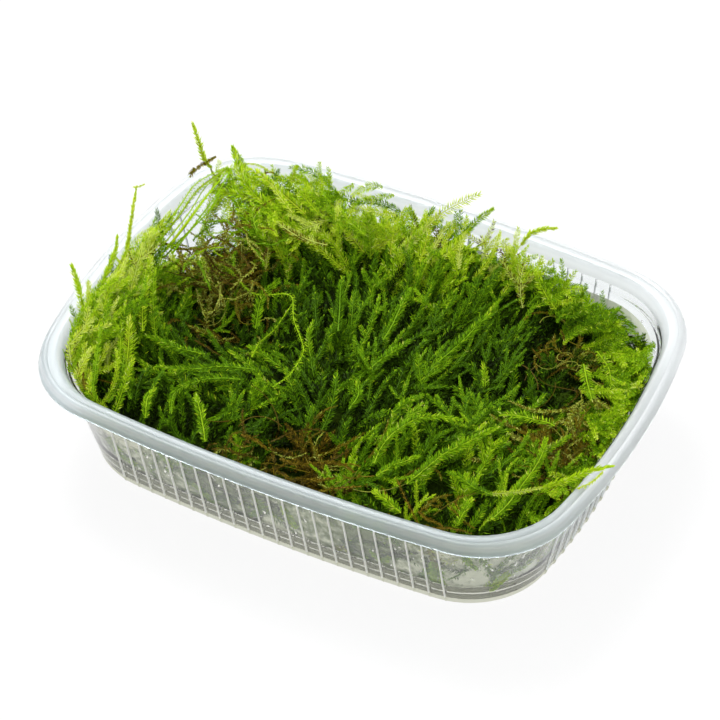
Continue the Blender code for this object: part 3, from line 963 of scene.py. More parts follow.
def scatter(count, inset):
    """Places spread over the mat at random, but none in the hollow at the back left corner."""
    places = []
    while len(places) < count:
        x = rng.uniform(-MAT_HALF_LENGTH, MAT_HALF_LENGTH)
        y = rng.uniform(-MAT_HALF_WIDTH, MAT_HALF_WIDTH)
        hollow = ((x + 57) / 9) ** 2 + ((y - 26) / 13) ** 2 < 1
        if from_wall(np.array(((x, y),)), STEP_LEVEL)[0][0] > inset and not hollow:
            places.append((x, y))
    return places


QUICK = 1.0
UNDER_SHOOTS = 1200
MIDDLE_SHOOTS = 760
TOP_SHOOTS = 560


def undergrow(store, x, y):
    """Under-growth: a short shoot at any angle, deep in the mat, painted darker than the lay's tone
    as painted shade.
    """
    heading, tone, length, _ = lay_at(x, y)
    heading += rng.normal(0, 1.0)
    if tone < OLIVE:
        dark = max(INK, min(tone, FRESH) - rng.uniform(2.5, 5.0))
    else:
        dark = rng.choice((BOTTLE, KHAKI, BARK))
    length *= rng.uniform(0.5, 0.9)
    lift = rng.uniform(-1, 1)
    bend = rng.normal(0, 1.2)
    path = lying_path(x, y, heading, length, 3.0, lift, bend, -rng.uniform(2.8, 4.6), 5)
    leafy(store, path, dark, leaf=1.6, broad=0.5, rows=(0, 180, 75), spacing=0.7)


under = Shoots()
# The hollows get more of this dark under-growth: painted shade in the recesses.
hollows = ((41, 8), (-36, -3), (50, 2))
extra = [tuple(rng.normal(middle, 5.0, 2)) for middle in hollows for _ in range(60)]
for x, y in scatter(int(UNDER_SHOOTS * QUICK), 3.0) + extra:
    undergrow(under, x, y)
under.build("moss_undergrowth", "moss_tangle", "moss_mat")

# Middle growth: half hidden shoots, mostly combed the same way, painted darker than the lay's tone as
# painted shade.
half_hidden = {"left": Shoots(), "right": Shoots()}
for x, y in scatter(int(MIDDLE_SHOOTS * QUICK), 3.6):
    heading, tone, length, lift = lay_at(x, y)
    heading += rng.normal(0, 0.5)
    shade = tone - rng.uniform(1.8, 3.6) if tone < OLIVE else rng.choice((tone, BARK, FOREST))
    length *= rng.uniform(0.6, 1.0)
    lift *= rng.uniform(0.0, 1.0)
    bend = rng.normal(0, 0.9)
    path = lying_path(x, y, heading, length, 2.8, lift, bend, -rng.uniform(1.4, 3.0), 6)
    leafy(half_hidden["left" if x < 0 else "right"], path, max(INK, shade),
          leaf=rng.uniform(1.3, 1.9), broad=0.45, rows=(-5, 185, 50, 130), spacing=0.55)
for side, store in half_hidden.items():
    store.build("moss_middle_" + side, "moss_tangle", "moss_mat")

# Top growth: the shoots that show, combed with the lay, some across it, many with side shoots.
top = {"left": Shoots(), "middle": Shoots(), "right": Shoots()}
for x, y in scatter(int(TOP_SHOOTS * QUICK), 2.6):
    heading, tone, length, lift = lay_at(x, y)
    heading += rng.normal(0, 0.22) if rng.random() < 0.75 else rng.normal(0, 1.1)
    length *= rng.uniform(0.6, 1.2)
    lift *= rng.uniform(0.3, 1.6)
    bend = rng.normal(0, 0.8)
    path = lying_path(x, y, heading, length, 3.4, lift, bend, -rng.uniform(-0.8, 2.0), 9)
    shade = tone + rng.normal(-0.7, 0.6) + (2.0 if rng.random() < 0.2 else 0.0)
    shade = max(INK, min(shade, PALE)) if tone < OLIVE else tone
    where = "left" if x < -20 else ("middle" if x < 20 else "right")
    slender = rng.random() < 0.5
    leaf = rng.uniform(0.8, 1.1) if slender else rng.uniform(1.1, 1.6)
    habit = {
        "broad": 0.27 if slender else 0.31,
        "rows": (-8, 188, 18, 162) if rng.random() < 0.5 else (-14, 194, 12, 168, 48),
        "spacing": 0.43,
        "opening": 62.0,
        "stem_tone": min(shade + 1.3, PALE) if tone < OLIVE else tone,
        "tip_tone": shade + 1.5 if tone < OLIVE else None,
    }
    leafy(top[where], path, shade, leaf=leaf, **habit)
    if rng.random() < 0.55:
        branch(top[where], path, shade + 0.3, leaf, rng.integers(1, 4), **habit)
for side, store in top.items():
    store.build("moss_top_" + side, "moss_tangle", "moss_mat")


# ----------------------------------------------------------------------------
# Plumes: where the moss was pushed in and stands up against the rim, on the left and at the back.
# Their young tips are the palest and finest of all.
plumes = Shoots()


def plume(store, tips, count, heading, tones, length, rise, spread, turn,
          leaf=(0.9, 1.6), wall_gap=1.8):
    """Shoots whose tips gather along a line, each coming up from the mat behind its tip."""
    line = smooth(tips, 40)
    for _ in range(int(count * QUICK)):
        tip = line[rng.integers(0, len(line))] + rng.normal(0, 1, 3) * spread
        way = math.radians(heading) + rng.normal(0, turn)
        long = rng.uniform(*length)
        share = np.linspace(0.0, 1.0, 8)
        bend = rng.normal(0, 0.35)
        flat = long * (1 - share)
        x = tip[0] - np.cos(way) * flat + np.sin(way) * bend * flat * share
        y = tip[1] - np.sin(way) * flat - np.cos(way) * bend * flat * share
        root = tip[2] - rise * rng.uniform(0.7, 1.3)
        if rng.random() < 0.5:
            root = min(root, ground_line([(x[0], y[0])])[0] - 0.8)
        z = root + (tip[2] - root) * (1 - (1 - share) ** 1.3)
        path = np.column_stack((x, y, z))
        press_in(path, wall_gap, 30.5)
        shade = rng.choice(tones) + rng.normal(-0.2, 1.0)
        feathery = rng.random() < 0.6
        broad, rows = (0.26, (0, 180, 20, 160)) if feathery else (0.32, (-12, 192, 24, 156))
        leafy(store, path, shade, leaf=rng.uniform(*leaf), broad=broad, rows=rows, spacing=0.5,
              opening=64.0, facing=TO_FRONT, stem_tone=min(shade + 1, PALE),
              tip_tone=min(shade + 2, PALE))
        if rng.random() < 0.4:
            branch(store, path, shade + 0.5, leaf[1] * 0.9, 2, facing=TO_FRONT, broad=0.3,
                   rows=(0, 180, 25, 155), spacing=0.55, opening=62.0)


# Each plume: the line of its tips, count, heading, tones, range of lengths, rise from root to tip,
# spread of the tips, how far the headings differ, and the leaves where they aren't the usual size.
PLUMES = (
    # Along the left wall the shoots sweep back and up, and their tips reach past the rim.
    (((-58.5, -32, 31.5), (-61.5, -22, 34.5), (-62.5, -8, 37), (-61.5, 2, 38.5), (-59.5, 9, 39.5)),
     62, 88, (LIME, GLOW, BRIGHT, FRESH, YELLOW, PALE), (12, 22), 8.0, (1.3, 3.0, 1.3), 0.2),
    (((-54.5, -35, 29.5), (-57, -22, 32.5), (-58, -8, 34.5), (-57, 3, 36)),
     56, 92, (BRIGHT, FRESH, GRASS, LIME), (12, 20), 6.0, (2.4, 3.0, 1.2), 0.35),
    # At the back left they come towards the corner.
    (((-55, 28, 37), (-54, 33, 38), (-49, 36.5, 38), (-44, 38, 38)),
     20, 165, (GLOW, LIME, YELLOW, LIME), (7, 12), 2.5, (1.5, 1.5, 0.8), 0.8, (1.0, 1.7)),
    (((-44, 36, 37.5), (-36, 38, 37.5), (-28, 38, 37), (-20, 38, 36)),
     44, 160, (LIME, GLOW, FRESH, YELLOW, BRIGHT), (7, 12), 2.5, (2.5, 2.0, 0.9), 1.1, (1.0, 1.6)),
    (((-49, 23, 35), (-42, 25, 35.5), (-34, 27, 35.5), (-26, 30, 35)),
     44, 175, (FRESH, LIME, GLOW, OLIVE, BRIGHT), (7, 13), 1.5, (3.5, 4.0, 1.0), 1.3, (0.9, 1.4)),
    # Along the back short pale tips stand up past the edge.
    (((-22, 41, 34.5), (-10, 43, 34), (4, 45, 34.5), (16, 45, 34.5), (28, 42.5, 34)),
     46, 95, (LIME, GLOW, BRIGHT, PALE), (6, 12), 4.5, (2.0, 1.2, 1.3), 0.5),
    (((28, 41, 33), (38, 38, 33), (48, 34, 32.5), (58, 28, 31.5)),
     40, 40, (FRESH, GRASS, BRIGHT), (6, 12), 4.0, (2.5, 1.8, 1.1), 0.8),
    (((60, 24, 31), (65, 14, 30), (66, 4, 29), (65.5, -8, 28.5)),
     34, -60, (BRIGHT, LIME, FRESH), (8, 14), 2.5, (1.2, 3.0, 0.9), 0.6),
)
for row in PLUMES:
    plume(plumes, *row)

# The big frond of the back left corner and the stalks of the shoots that stand alone: tone, leaf,
# and places from the tip down.
FRONDS = (
    (LIME, 2.1,
     ((-57.1, 37.3, 43), (-51.1, 31.5, 39), (-43.8, 28.2, 37), (-36, 26, 35), (-29, 26.5, 32.5))),
    (BRIGHT, 1.9, ((-56, 33, 39.5), (-51, 27, 37), (-45, 22, 35.5), (-38, 19, 34))),
    (LIME, 2.0, ((-56.5, 25, 38), (-50, 27.5, 37.5), (-42, 30, 36), (-35, 30, 34.5))),
    (GLOW, 1.8, ((-54, 36, 39), (-48, 35, 39), (-41, 33, 37.5), (-33, 31, 35))),
    (OLIVE, 0.8, ((-61.5, 32.7, 38.5), (-58, 30, 37.5), (-53, 27.3, 36), (-47.5, 25.8, 34))),
    (YELLOW, 0.7, ((-65.5, -3.0, 35.5), (-64.8, -8, 33.5), (-63.5, -14, 31))),
    (LIME, 1.1, ((-65.3, -15, 33.5), (-64.5, -20, 31.5), (-62, -26, 29))),
    (LIME, 1.3, ((-65.8, -22.5, 33), (-64.5, -26, 31), (-62, -30, 28.5))),
    (GLOW, 1.6, ((-41.6, 38, 36), (-41, 35.5, 34), (-39, 31, 33))),
    (LIME, 1.6, ((-7, 42, 33.5), (-5.5, 39.5, 32), (-3, 35, 29.5))),
    (PALE, 1.9, ((-4, 41, 34), (-6, 37.5, 31.5), (-9, 33, 28.5))),
    (GLOW, 1.8, ((5.5, 42, 34), (3.5, 38.5, 31.5), (1, 34, 28))),
    (YELLOW, 0.6, ((20, 46.5, 33.5), (18, 43.5, 31), (15, 39, 28.5))),
    (YELLOW, 0.9, ((60.5, -25.5, 31), (55, -28, 29), (48, -30, 27))),
    (FRESH, 1.7, ((-27.5, 7.5, 33.5), (-29.5, 2, 31), (-27.5, -5, 27.5))),
    (YELLOW, 0.5, ((-58, 34, 37.2), (-53, 38.5, 38.5), (-47.5, 39.5, 37), (-42, 38.5, 35))),
    (KHAKI, 0.9, ((-63.3, 26.5, 40.2), (-62.6, 30, 40.4), (-61.9, 32.3, 40.4), (-60.9, 34.9, 40.5))),
    (KHAKI, 1.2, ((-63.5, 26.2, 39.6), (-63.2, 27.2, 40.4), (-63.3, 28, 41.1))),
    (YELLOW, 0.5, ((-69.2, 8.5, 46.9), (-67.5, 9.1, 47.4), (-66.8, 10.3, 47.5))),
    (KHAKI, 0.9, ((-62.6, -31, 30.6), (-59, -37, 29.4), (-54, -41.8, 28.4), (-50, -44, 27.8))),
    (RUST, 0.8, ((-62.0, -29, 30.2), (-59.6, -35, 29.6), (-55.5, -40, 28.8))),
    (KHAKI, 0.8, ((-63.0, -27, 31.2), (-60.5, -34, 29.8), (-58, -38, 29))),
)
for tone, leaf, places in FRONDS:
    path = smooth(places[::-1], 4 * len(places) + 2)
    old = tone >= OLIVE
    leafy(plumes, path, tone, leaf=leaf, broad=0.4 if leaf > 1.4 else 0.28,
          rows=(-5, 185, 30, 150), spacing=0.45, facing=TO_FRONT,
          stem_tone=tone if old else min(tone + 1, PALE), thick=0.32 if old else 0.15)
# Bare stems arch from the left crest to the back left corner.
ARCH = ((-59, 3, 33.5), (-57.5, 10, 36.5), (-57, 15, 38), (-57, 23, 39), (-56.3, 33.5, 39.3))
ARCHES = 6
for _ in range(ARCHES):
    drift = rng.normal(0, 1.0, 3) * (2.0, 0.9, 1.3)
    places = np.array(ARCH) + drift
    places[-1] -= drift * 0.8
    path = smooth(places, 22)
    tone = rng.choice((BRIGHT, LIME, GLOW, OLIVE))
    stem(plumes, path, 0.3, tone, facing=TO_FRONT)
    leafy(plumes, path[4:], BRIGHT, leaf=0.9, broad=0.25, rows=(0, 180), spacing=0.9,
          facing=TO_FRONT)
plumes.build("moss_plumes", "moss_tangle", "moss_mat")


# ----------------------------------------------------------------------------
# Old growth: wiry brown and olive stems, tangled at the left and at the front. They are the oldest
# parts of the moss, and have lost most of their leaves.
wiry = Shoots()
SPARSE = {"broad": 0.26, "rows": (0, 180, 90), "spacing": 0.6, "opening": 50.0}
WIRY_PATCHES = (
    # x, y, reach, count, level, tones
    (-50, 8, 5.0, 30, 1.6, (KHAKI, BARK, OLIVE, OLIVE)),
    (-46, 17, 5.0, 24, 2.0, (KHAKI, BARK, OLIVE)),
    (-38, 0, 5.5, 18, -0.5, (BARK, BARK, OLIVE)),
    (-40, 22, 4.0, 10, 2.0, (KHAKI, RUST, OLIVE)),
    (-12, -38, 5.0, 14, 0.3, (KHAKI, BARK, OLIVE)),
    (2, -40, 6.0, 24, 0.5, (KHAKI, KHAKI, BARK, BARK)),
    (14, -40, 5.0, 12, 0.5, (RUST, KHAKI, OLIVE)),
    (40, -43, 5.0, 14, 0.8, (RUST, KHAKI)),
    (60, -6, 4.0, 30, 0.5, (KHAKI, BARK, OLIVE)),
    (60, -16, 4.0, 30, 0.3, (KHAKI, BARK, RUST)),
    (44, 14, 6.0, 9, -0.6, (BARK, BARK, OLIVE)),
    (46, 25, 4.5, 14, -0.4, (KHAKI, OLIVE)),
    (-62, -33, 3.5, 12, 0.5, (KHAKI, RUST)),
)
for x, y, reach, count, level, tones in WIRY_PATCHES:
    for _ in range(int(count * QUICK)):
        at = np.array((x, y)) + rng.normal(0, reach, 2)
        heading = rng.uniform(0, 2 * math.pi)
        length = rng.uniform(7, 15)
        lift = rng.uniform(-0.5, 2.0)
        bend = rng.normal(0, 2.2)
        height = level + rng.uniform(-1.2, 1.0)
        path = smooth(lying_path(*at, heading, length, 2.0, lift, bend, height, 9), 16)
        tone = rng.choice(tones)
        stem(wiry, path, rng.uniform(0.12, 0.22), tone)
        if rng.random() < 0.7:
            leafy(wiry, path, tone, leaf=rng.uniform(0.6, 1.1), **SPARSE)
# Above the hollow the old stems arch free of the mat, in loose coils.
for centre, reach, count, tones in (
    ((-52.5, 9, 32.8), (5.0, 4.0, 1.6), 20, (KHAKI, OLIVE, FRESH, OLIVE, BARK)),
    ((-45, 18, 34.5), (6.5, 6.0, 1.4), 24, (KHAKI, OLIVE, FRESH, LIME)),
    ((-39, 8, 31.5), (6.5, 6.0, 1.4), 8, (KHAKI, BARK, OLIVE)),
):
    for _ in range(int(count * QUICK)):
        at = np.array(centre) + rng.normal(0, 0.55, 3) * reach
        turn = rng.uniform(0, 2 * math.pi)
        curl = rng.normal(0, 1.6)
        path = []
        for step in range(9):
            path.append(at.copy())
            at += np.array((math.cos(turn), math.sin(turn), rng.normal(0, 0.28))) * 1.5
            turn += curl / 8 + rng.normal(0, 0.15)
        path = smooth(path, 16)
        tone = rng.choice(tones)
        stem(wiry, path, rng.uniform(0.16, 0.32), tone)
        leafy(wiry, path, tone, leaf=rng.uniform(0.6, 1.0), **SPARSE)
# Two long green runners curl over the old growth, with few leaves.
LONG_RUNNER = (
    (-51.7, 16.0), (-43.3, 11.6), (-36.7, 8.8), (-31.2, 9.3), (-25.9, 10.3),
    (-21.4, 3.4), (-13.7, -5.6), (-12.0, -14.9), (-13.5, -21.1),
)
SHORT_RUNNER = ((-24.0, -13.0), (-26.4, -4.5), (-25.2, 1.7), (-24.2, 8.5))
for tone, places in ((BRIGHT, LONG_RUNNER), (FRESH, SHORT_RUNNER)):
    places = smooth([(x, y, 0.0) for x, y in places], 6 * len(places))
    places[:, 2] = ground_line(places[:, :2])
    places[1:-1, 2] = (places[:-2, 2] + places[1:-1, 2] + places[2:, 2]) / 3
    places[:, 2] += 1.7
    leafy(wiry, places, tone, leaf=1.1, broad=0.3, rows=(0, 180, 60), spacing=0.8, opening=55.0,
          thick=0.26, stem_tone=LIME)
wiry.build("moss_wiry", "moss_tangle", "moss_mat")


# ----------------------------------------------------------------------------
# Moss against the inside of the wall, seen through the plastic. Water holds a few bits of it flat
# on the wall.
pressed = Shoots()


def wall_path(places, gap):
    """A path on the inside of the wall, from pairs of share round the tub and height."""
    path = []
    for share, height in places:
        line = outline(inner_inset(height) + gap, parts=30)
        spot = share % 1.0 * len(line)
        low = int(spot)
        point = line[low] + (line[(low + 1) % len(line)] - line[low]) * (spot - low)
        path.append((*point, height))
    return np.array(path)


WALL_SHOOTS = 640
TUB_ROUND = 430
BACK_LEFT = (0.31, 0.5)
SHOOT_TONES = (DEEP, FOREST, GREEN, GRASS, OLIVE, FRESH, BRIGHT)
TONE_SHARES = (0.1, 0.16, 0.2, 0.2, 0.12, 0.14, 0.08)
for _ in range(int(WALL_SHOOTS * QUICK)):
    share = rng.random() if rng.random() < 0.88 else rng.uniform(*BACK_LEFT)
    high = 3 + 23 * rng.random() ** 0.8
    if BACK_LEFT[0] < share < BACK_LEFT[1] and high > 19:
        continue
    length = rng.uniform(6, 14)
    way = rng.normal(0, 0.7) + (0 if rng.random() < 0.5 else math.pi)
    turns = way + rng.normal(0, 0.8) * np.linspace(-0.5, 0.5, 5)
    across = np.concatenate(((0.0,), np.cumsum(np.cos(turns[:-1])))) * length / 4 / TUB_ROUND
    rise = np.concatenate(((0.0,), np.cumsum(np.sin(turns[:-1])))) * length / 4
    heights = np.clip(high + rise, 2.2, 26.5)
    path = wall_path(zip(share + across, heights), rng.uniform(0.25, 2.2))
    if (ground_line(path[:, :2] * 0.95) - 2.0 < path[:, 2]).any():
        continue
    shade = rng.choice(SHOOT_TONES, p=TONE_SHARES)
    leafy(pressed, path, shade, leaf=1.3, broad=0.36, rows=(0, 180, 15, 165), spacing=0.6,
          facing=unit(np.array((path[2, 0] * 0.6, path[2, 1], 0.3))))
# Bits that touch the plastic at the front show clearly: tone, leaf, and share and height of each
# point.
for tone, leaf, places in (
    (OLIVE, 1.2, ((0.8295, 21), (0.8315, 16.5), (0.8333, 13.5))),
    (BRIGHT, 2.4, ((0.8315, 16), (0.8335, 12), (0.8345, 7), (0.8375, 3.2))),
    (FRESH, 2.2, ((0.828, 12), (0.8305, 8), (0.833, 3.5))),
    (LIME, 1.8, ((0.832, 11), (0.836, 6), (0.843, 3.2))),
    (GRASS, 2.0, ((0.826, 9), (0.8295, 5), (0.831, 3.2))),
    (GLOW, 1.7, ((0.8685, 5), (0.8722, 7.5), (0.8778, 9), (0.8815, 11))),
    (LIME, 1.6, ((0.8690, 4.6), (0.8730, 6.8), (0.878, 8.4))),
    (LIME, 1.6, ((0.7556, 18), (0.7583, 14), (0.7611, 10.5))),
    (LIME, 1.2, ((0.789, 25.6), (0.7944, 24.5), (0.8028, 24), (0.808, 25.6))),
    (BRIGHT, 1.3, ((0.7056, 12.5), (0.711, 10.5), (0.7139, 7.5), (0.7194, 6.5))),
    (GRASS, 1.3, ((0.700, 14), (0.706, 12), (0.712, 11))),
    (BRIGHT, 1.3, ((0.655, 16), (0.664, 11), (0.676, 9))),
    (BRIGHT, 1.2, ((0.85, 23), (0.853, 19), (0.86, 15))),
    (KHAKI, 0.9, ((0.875, 3.2), (0.885, 2.5), (0.8944, 2.4))),
    (FRESH, 1.3, ((0.735, 8), (0.741, 11), (0.745, 16))),
    (BRIGHT, 1.3, ((0.80, 12), (0.806, 9), (0.81, 12))),
    (OLIVE, 1.1, ((0.78, 6), (0.786, 9), (0.79, 7))),
    (BRIGHT, 1.3, ((0.69, 21), (0.695, 17), (0.692, 13))),
):
    path = smooth(wall_path(places, 0.3), 12)
    leafy(pressed, path, tone, leaf=leaf, broad=0.62, rows=(0, 180, 12, 168), spacing=0.34,
          facing=(0.25, -1, 0.1), thick=0.3)
pressed.build("moss_on_wall", "moss_tangle", "moss_mat")


# ----------------------------------------------------------------------------
# Droplets of water on the inside of the wall, each a small flattened drop. Some have run down the
# wall, and are longer than they are wide.
drop_shape = bmesh.new()
bmesh.ops.create_icosphere(drop_shape, subdivisions=1, radius=1.0)
drop_points = np.array([v.co[:] for v in drop_shape.verts])
drop_corners = np.array([[v.index for v in f.verts] for f in drop_shape.faces])
drop_shape.free()
DROPLETS = 420
points = []
corners = []
for number in range(DROPLETS):
    share = rng.random() if number % 3 else rng.uniform(0.6, 0.9)
    high = rng.uniform(4, 26)
    centre = wall_path(((share, high),), 0.3)[0]
    nearest = from_wall(centre[None, :2], np.array((high,)))[1][0]
    out = np.array((*step_out[nearest], 0.0))
    along = np.array((-out[1], out[0], 0.0))
    size = rng.uniform(0.2, 0.5)
    runs = rng.choice((1.0, 1.0, 2.2))
    lean = rng.uniform(-0.5, 0.5)
    shape = drop_points * (size, 0.28, size * runs)
    run_down = (0, 0, 1) + along * lean
    points.append(centre + shape[:, :1] * along + shape[:, 1:2] * out + shape[:, 2:] * run_down)
    corners.append(drop_corners + number * len(drop_points))
drop_data = bpy.data.meshes.new("droplets")
drop_data.from_pydata((np.concatenate(points) * MM).tolist(), [], np.concatenate(corners).tolist())
drop_data.shade_smooth()
droplets = put("droplets", drop_data)
water, shader, start = new_material("water")
ripple = start.here().noise(Scale=1500.0)
feed(
    shader,
    Base_Color=(1.0, 1.0, 1.0, 1.0),
    Roughness=0.02,
    Transmission_Weight=1.0,
    IOR=1.33,
    Normal=ripple.bump(0.15, 0.0001),
)
drop_data.materials.append(water)
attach(droplets, "root")
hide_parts("tub")


# ----------------------------------------------------------------------------
# Loose shoots that lie on the mat, each one where its CAD solid is. Some are feathery, with
# narrow leaves set wide, and some are old brown stems with few leaves left.
FULL, FEATHERY, TOOTHED, BARE, WOOLLY = range(5)
# Each shoot: thickness, tone, habit, and places along it.
LYING = {
    "shoot_long_left": (
        2.4, FRESH, FULL, ((-20, -18.5), (-27, -21), (-32, -24.5), (-36.5, -27), (-42, -28)),
    ),
    "shoot_upper_left": (
        2.4, FRESH, FULL, ((-34, -18.5), (-39.5, -19.5), (-44.5, -20), (-49.5, -20.5)),
    ),
    "shoot_curved_left": (
        2.0, FRESH, FULL, ((-21.5, -23), (-27, -25.5), (-31, -29), (-33.5, -34), (-31, -40)),
    ),
    "shoot_front_left": (
        2.6, BRIGHT, FULL, ((-19, -44.5), (-21.5, -41), (-25, -36.5), (-28.5, -32.5)),
    ),
    "shoot_front_left_curl": (
        2.2, BRIGHT, FULL, ((-36, -43.5), (-37.5, -40.5), (-38.5, -38), (-38.5, -35)),
    ),
    "shoot_centre_left": (2.4, GRASS, FULL, ((-9, 3.5), (-12, 10), (-15.5, 17), (-17, 21))),
    "shoot_centre": (2.4, FRESH, FULL, ((2.5, 5.5), (2, 11.5), (1, 18.5), (0.5, 24))),
    "shoot_centre_low": (2.4, FRESH, FULL, ((5, -5), (6, -0.5), (7.5, 4.5), (8.5, 8))),
    "shoot_centre_sprig": (2.2, FRESH, FULL, ((7, -20.5), (6.5, -15), (4, -10.5))),
    "shoot_centre_right": (2.6, FRESH, FULL, ((18.5, 3.5), (20, 12), (21, 20), (22.5, 29))),
    "shoot_front_centre": (2.2, FRESH, FULL, ((17.5, -18), (18.5, -13), (20.5, -8.5))),
    "shoot_back_right": (2.4, BRIGHT, FEATHERY, ((33, 36), (39, 35), (44, 33))),
    "shoot_right_edge": (2.2, BRIGHT, FEATHERY, ((52, 22.5), (57, 18), (60, 13.5))),
    "shoot_right_feathery": (2.2, BRIGHT, FEATHERY, ((51, 17), (54.5, 11.5), (58, 6.5))),
    "stem_right": (1.4, OLIVE, WOOLLY, ((56, 5.5), (54.5, 2), (51, -0.3), (45.5, -0.3), (39, 1))),
    "shoot_herringbone": (
        2.2, BRIGHT, FEATHERY, ((53.5, -4.5), (48, -3.8), (43.5, -4.3), (40, -6)),
    ),
    "shoot_front_right": (
        2.8, BRIGHT, FULL, ((53, -37), (54.5, -31), (55, -22), (55, -15), (53.5, -9)),
    ),
    "shoot_long_right": (
        2.8, BRIGHT, FULL, ((31, -37), (32.5, -32), (35, -25), (38, -18.5), (41.5, -10.5)),
    ),
    "shoot_right_arc": (
        2.6, BRIGHT, FULL, ((20.5, -33.5), (20, -29), (21, -23.5), (25, -17), (33, -13)),
    ),
    "shoot_front_arc": (2.2, BRIGHT, FULL, ((23, -37), (25, -33), (27.5, -30), (29.5, -28))),
    "shoot_front_bright": (2.8, LIME, FULL, ((33, -44), (29, -42.8), (25, -42))),
    "shoot_right_cross": (2.2, FRESH, FULL, ((50, -30.5), (45, -30.5), (41, -29.5), (38, -29.5))),
    "shoot_front_low": (2.2, BRIGHT, FULL, ((46.5, -41.5), (46.5, -38), (46.5, -34))),
    "stem_brown_right": (1.4, RUST, WOOLLY, ((36.5, -42), (39.5, -42.8), (43, -43))),
    "stem_brown_front": (
        1.6, RUST, WOOLLY, ((-1, -40.5), (4, -40), (8.5, -36.5), (13, -35.5), (17, -37)),
    ),
    "stem_brown_short": (1.4, RUST, WOOLLY, ((8, -43.5), (11, -43), (14, -41))),
    "stem_brown_left": (1.4, RUST, WOOLLY, ((-12.5, -38.5), (-9, -38.5), (-5, -39.3))),
}


# Each habit: a leaf's length as a share of the shoot's thickness, its breadth, the rows of leaves,
# their spacing, how far the leaves open, and the thickness of the stem.
HABITS = {
    FULL: (0.62, 0.31, (-14, 194, 8, 172, 34, 146), 0.42, 63.0, 0.22),
    FEATHERY: (0.8, 0.28, (0, 180, 14, 166), 0.6, 66.0, 0.2),
    TOOTHED: (0.8, 0.46, (0, 180, 60, 120, 270), 0.44, 46.0, 0.36),
    WOOLLY: (0.62, 0.28, (-20, 200, 30, 90, 150), 0.36, 52.0, 0.24),
    BARE: (None, 0.22, (0, 180), 2.2, 45.0, 0.26),
}
BARE_LEAF = 0.7


def slot_of(name):
    for words, slot in (("brown", "old_stem"), ("stem", "green_stem")):
        if words in name:
            return slot
    return "moss_shoot"


def dress(name, path, thickness, tone, habit, facing=UP):
    """A loose shoot along a path, with the leaves of its habit."""
    share, broad, rows, spacing, opening, thick = HABITS[habit]
    green = habit in (FULL, FEATHERY) and tone < OLIVE
    look = {
        "leaf": thickness * share if share else BARE_LEAF,
        "stem_tone": min(tone + 0.8, PALE) if green else tone,
        "tip_tone": min(tone + 0.4, PALE) if habit == FULL else None,
    }
    shoot = Shoots()
    leafy(shoot, path, tone - 1.2 if habit == FULL else tone, broad=broad, rows=rows,
          spacing=spacing, facing=facing, opening=opening, thick=thick, **look)
    shoot.build(name + "_leaves", slot_of(name), name)


for name, (thickness, tone, habit, places) in LYING.items():
    line = smooth(places, 3 * len(places) + 4)
    path = np.column_stack((line, ground_line(line) + thickness / 2 + 1.2))
    dress(name, path, thickness, tone, habit)


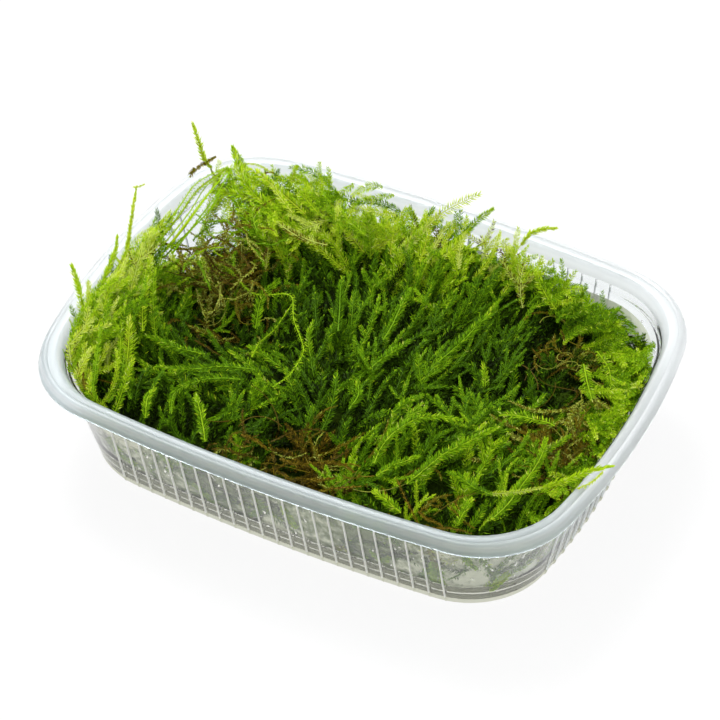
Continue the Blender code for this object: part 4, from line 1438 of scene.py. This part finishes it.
# ----------------------------------------------------------------------------
# Loose shoots that stand up out of the mat, over the rim or into the air, each one where its CAD
# solid is. Some have short leaves set like teeth, and three are bare stems.
STANDING = {
    "shoot_tall_back_left": (
        1.8, YELLOW, TOOTHED,
        ((-61, 32.5, 38.5), (-62.5, 32, 41), (-64, 32.5, 45), (-67, 34.5, 49.5)),
    ),
    "shoot_thin_left": (
        1.2, YELLOW, TOOTHED, ((-65, -3.5, 35), (-66, 0.5, 39.5), (-67, 4, 43), (-68.5, 9, 47)),
    ),
    "shoot_left_rim": (
        1.6, GLOW, TOOTHED,
        ((-65, -16, 33), (-65.5, -11.5, 36), (-66, -6.5, 38.5), (-67, -3.5, 41)),
    ),
    "shoot_left_overhang": (
        2.0, GLOW, TOOTHED,
        ((-65.5, -23, 32.5), (-67, -21.5, 35.5), (-69.5, -19, 37.5), (-72, -17, 40)),
    ),
    "shoot_back_left_corner": (
        2.0, GLOW, FULL, ((-52.5, 36.8, 36), (-55.5, 37.4, 40), (-57.3, 37.5, 43)),
    ),
    "shoot_back_left_sprig": (
        1.8, GLOW, FULL, ((-41.5, 38, 36), (-41, 39.5, 38.5), (-40.5, 40.5, 41)),
    ),
    "shoot_back_sprig": (1.8, LIME, FULL, ((-7, 42, 33.5), (-8.5, 42.5, 35.5), (-9.5, 42.5, 37.5))),
    "shoot_pale_back": (
        2.4, PALE, FEATHERY, ((-4, 41, 34), (-1, 44.5, 37.5), (3, 47, 40.5), (7, 49.5, 43)),
    ),
    "shoot_back_upright": (2.2, LIME, FULL, ((5.5, 42, 34), (8, 45, 37.5), (12, 47, 42))),
    "shoot_back_hook": (
        1.6, YELLOW, TOOTHED,
        ((20, 46.5, 33.5), (21.5, 49, 36), (24.5, 50.5, 37.5), (27.5, 51, 38.5)),
    ),
    "shoot_right_overhang": (
        1.8, GLOW, TOOTHED,
        ((60.5, -25.5, 31), (66.5, -22.5, 34), (70, -19.5, 35.5), (74, -17, 36.5)),
    ),
    "shoot_left_crest": (
        2.4, GLOW, FULL,
        ((-63.6, -15.5, 32.5), (-62.8, -5, 35), (-62.3, 3, 37), (-61.5, 9.5, 38.5)),
    ),
    "shoot_left_crest_low": (2.2, LIME, FULL, ((-60.5, -23, 33), (-60, -13, 34.5), (-59, -5, 35))),
    "stem_back_left_arch": (
        1.2, RUST, BARE, ((-50, 39, 35.5), (-47.5, 39.5, 37), (-44.3, 39, 36.3)),
    ),
    "stem_left_arch_outer": (
        1.2, LIME, BARE,
        ((-60, -0.5, 34), (-58, 5, 36.5), (-57.5, 15.5, 38), (-58.5, 25.5, 38.5), (-58, 34, 37)),
    ),
    "stem_left_arch_inner": (
        1.2, BRIGHT, BARE,
        ((-57.5, 2.5, 33), (-56, 9, 35), (-54, 18, 37), (-54.5, 27.5, 37.5), (-55, 35, 36)),
    ),
}
for name, (thickness, tone, habit, places) in STANDING.items():
    dress(name, smooth(places, 4 * len(places) + 2), thickness, tone, habit, TO_FRONT)


# ----------------------------------------------------------------------------
# Thin places: more short dark shoots fill the gaps between the others, so that the mat's heart
# doesn't show. A withered tip hangs from the shoot that reaches over the right rim.
THIN_PLACES = ((50, -33), (44, -31), (-2, -8), (43, 18), (28, -42), (-26, 6))
EACH_PLACE = 24
filling = Shoots()
for middle in THIN_PLACES:
    for _ in range(int(EACH_PLACE * QUICK)):
        undergrow(filling, *rng.normal(middle, 4.0, 2))
# Along the right wall more shoots close the gap between the mat and the plastic.
RIGHT_WALL = (
    (61.5, 24, 30), (66.5, 14, 29), (67.5, 4, 28.5), (67, -8, 28), (65.5, -20, 28), (61, -31, 28),
)
plume(filling, RIGHT_WALL, 40, -75, (FRESH, GRASS, BRIGHT), (6, 11), 2.5, (0.8, 3.0, 0.9), 0.5,
      wall_gap=0.5)
HANGING = (
    (72.8, -19.6, 36.4), (72.2, -20.5, 35.4), (71.3, -22.2, 34.6),
    (69.8, -23.9, 34.0), (68.8, -25, 33.8),
)
hanging = smooth(HANGING, 14)
leafy(filling, hanging, YELLOW, leaf=0.9, broad=0.3, rows=(0, 180, 90), spacing=0.5, thick=0.25)
filling.build("moss_filling", "moss_tangle", "moss_mat")
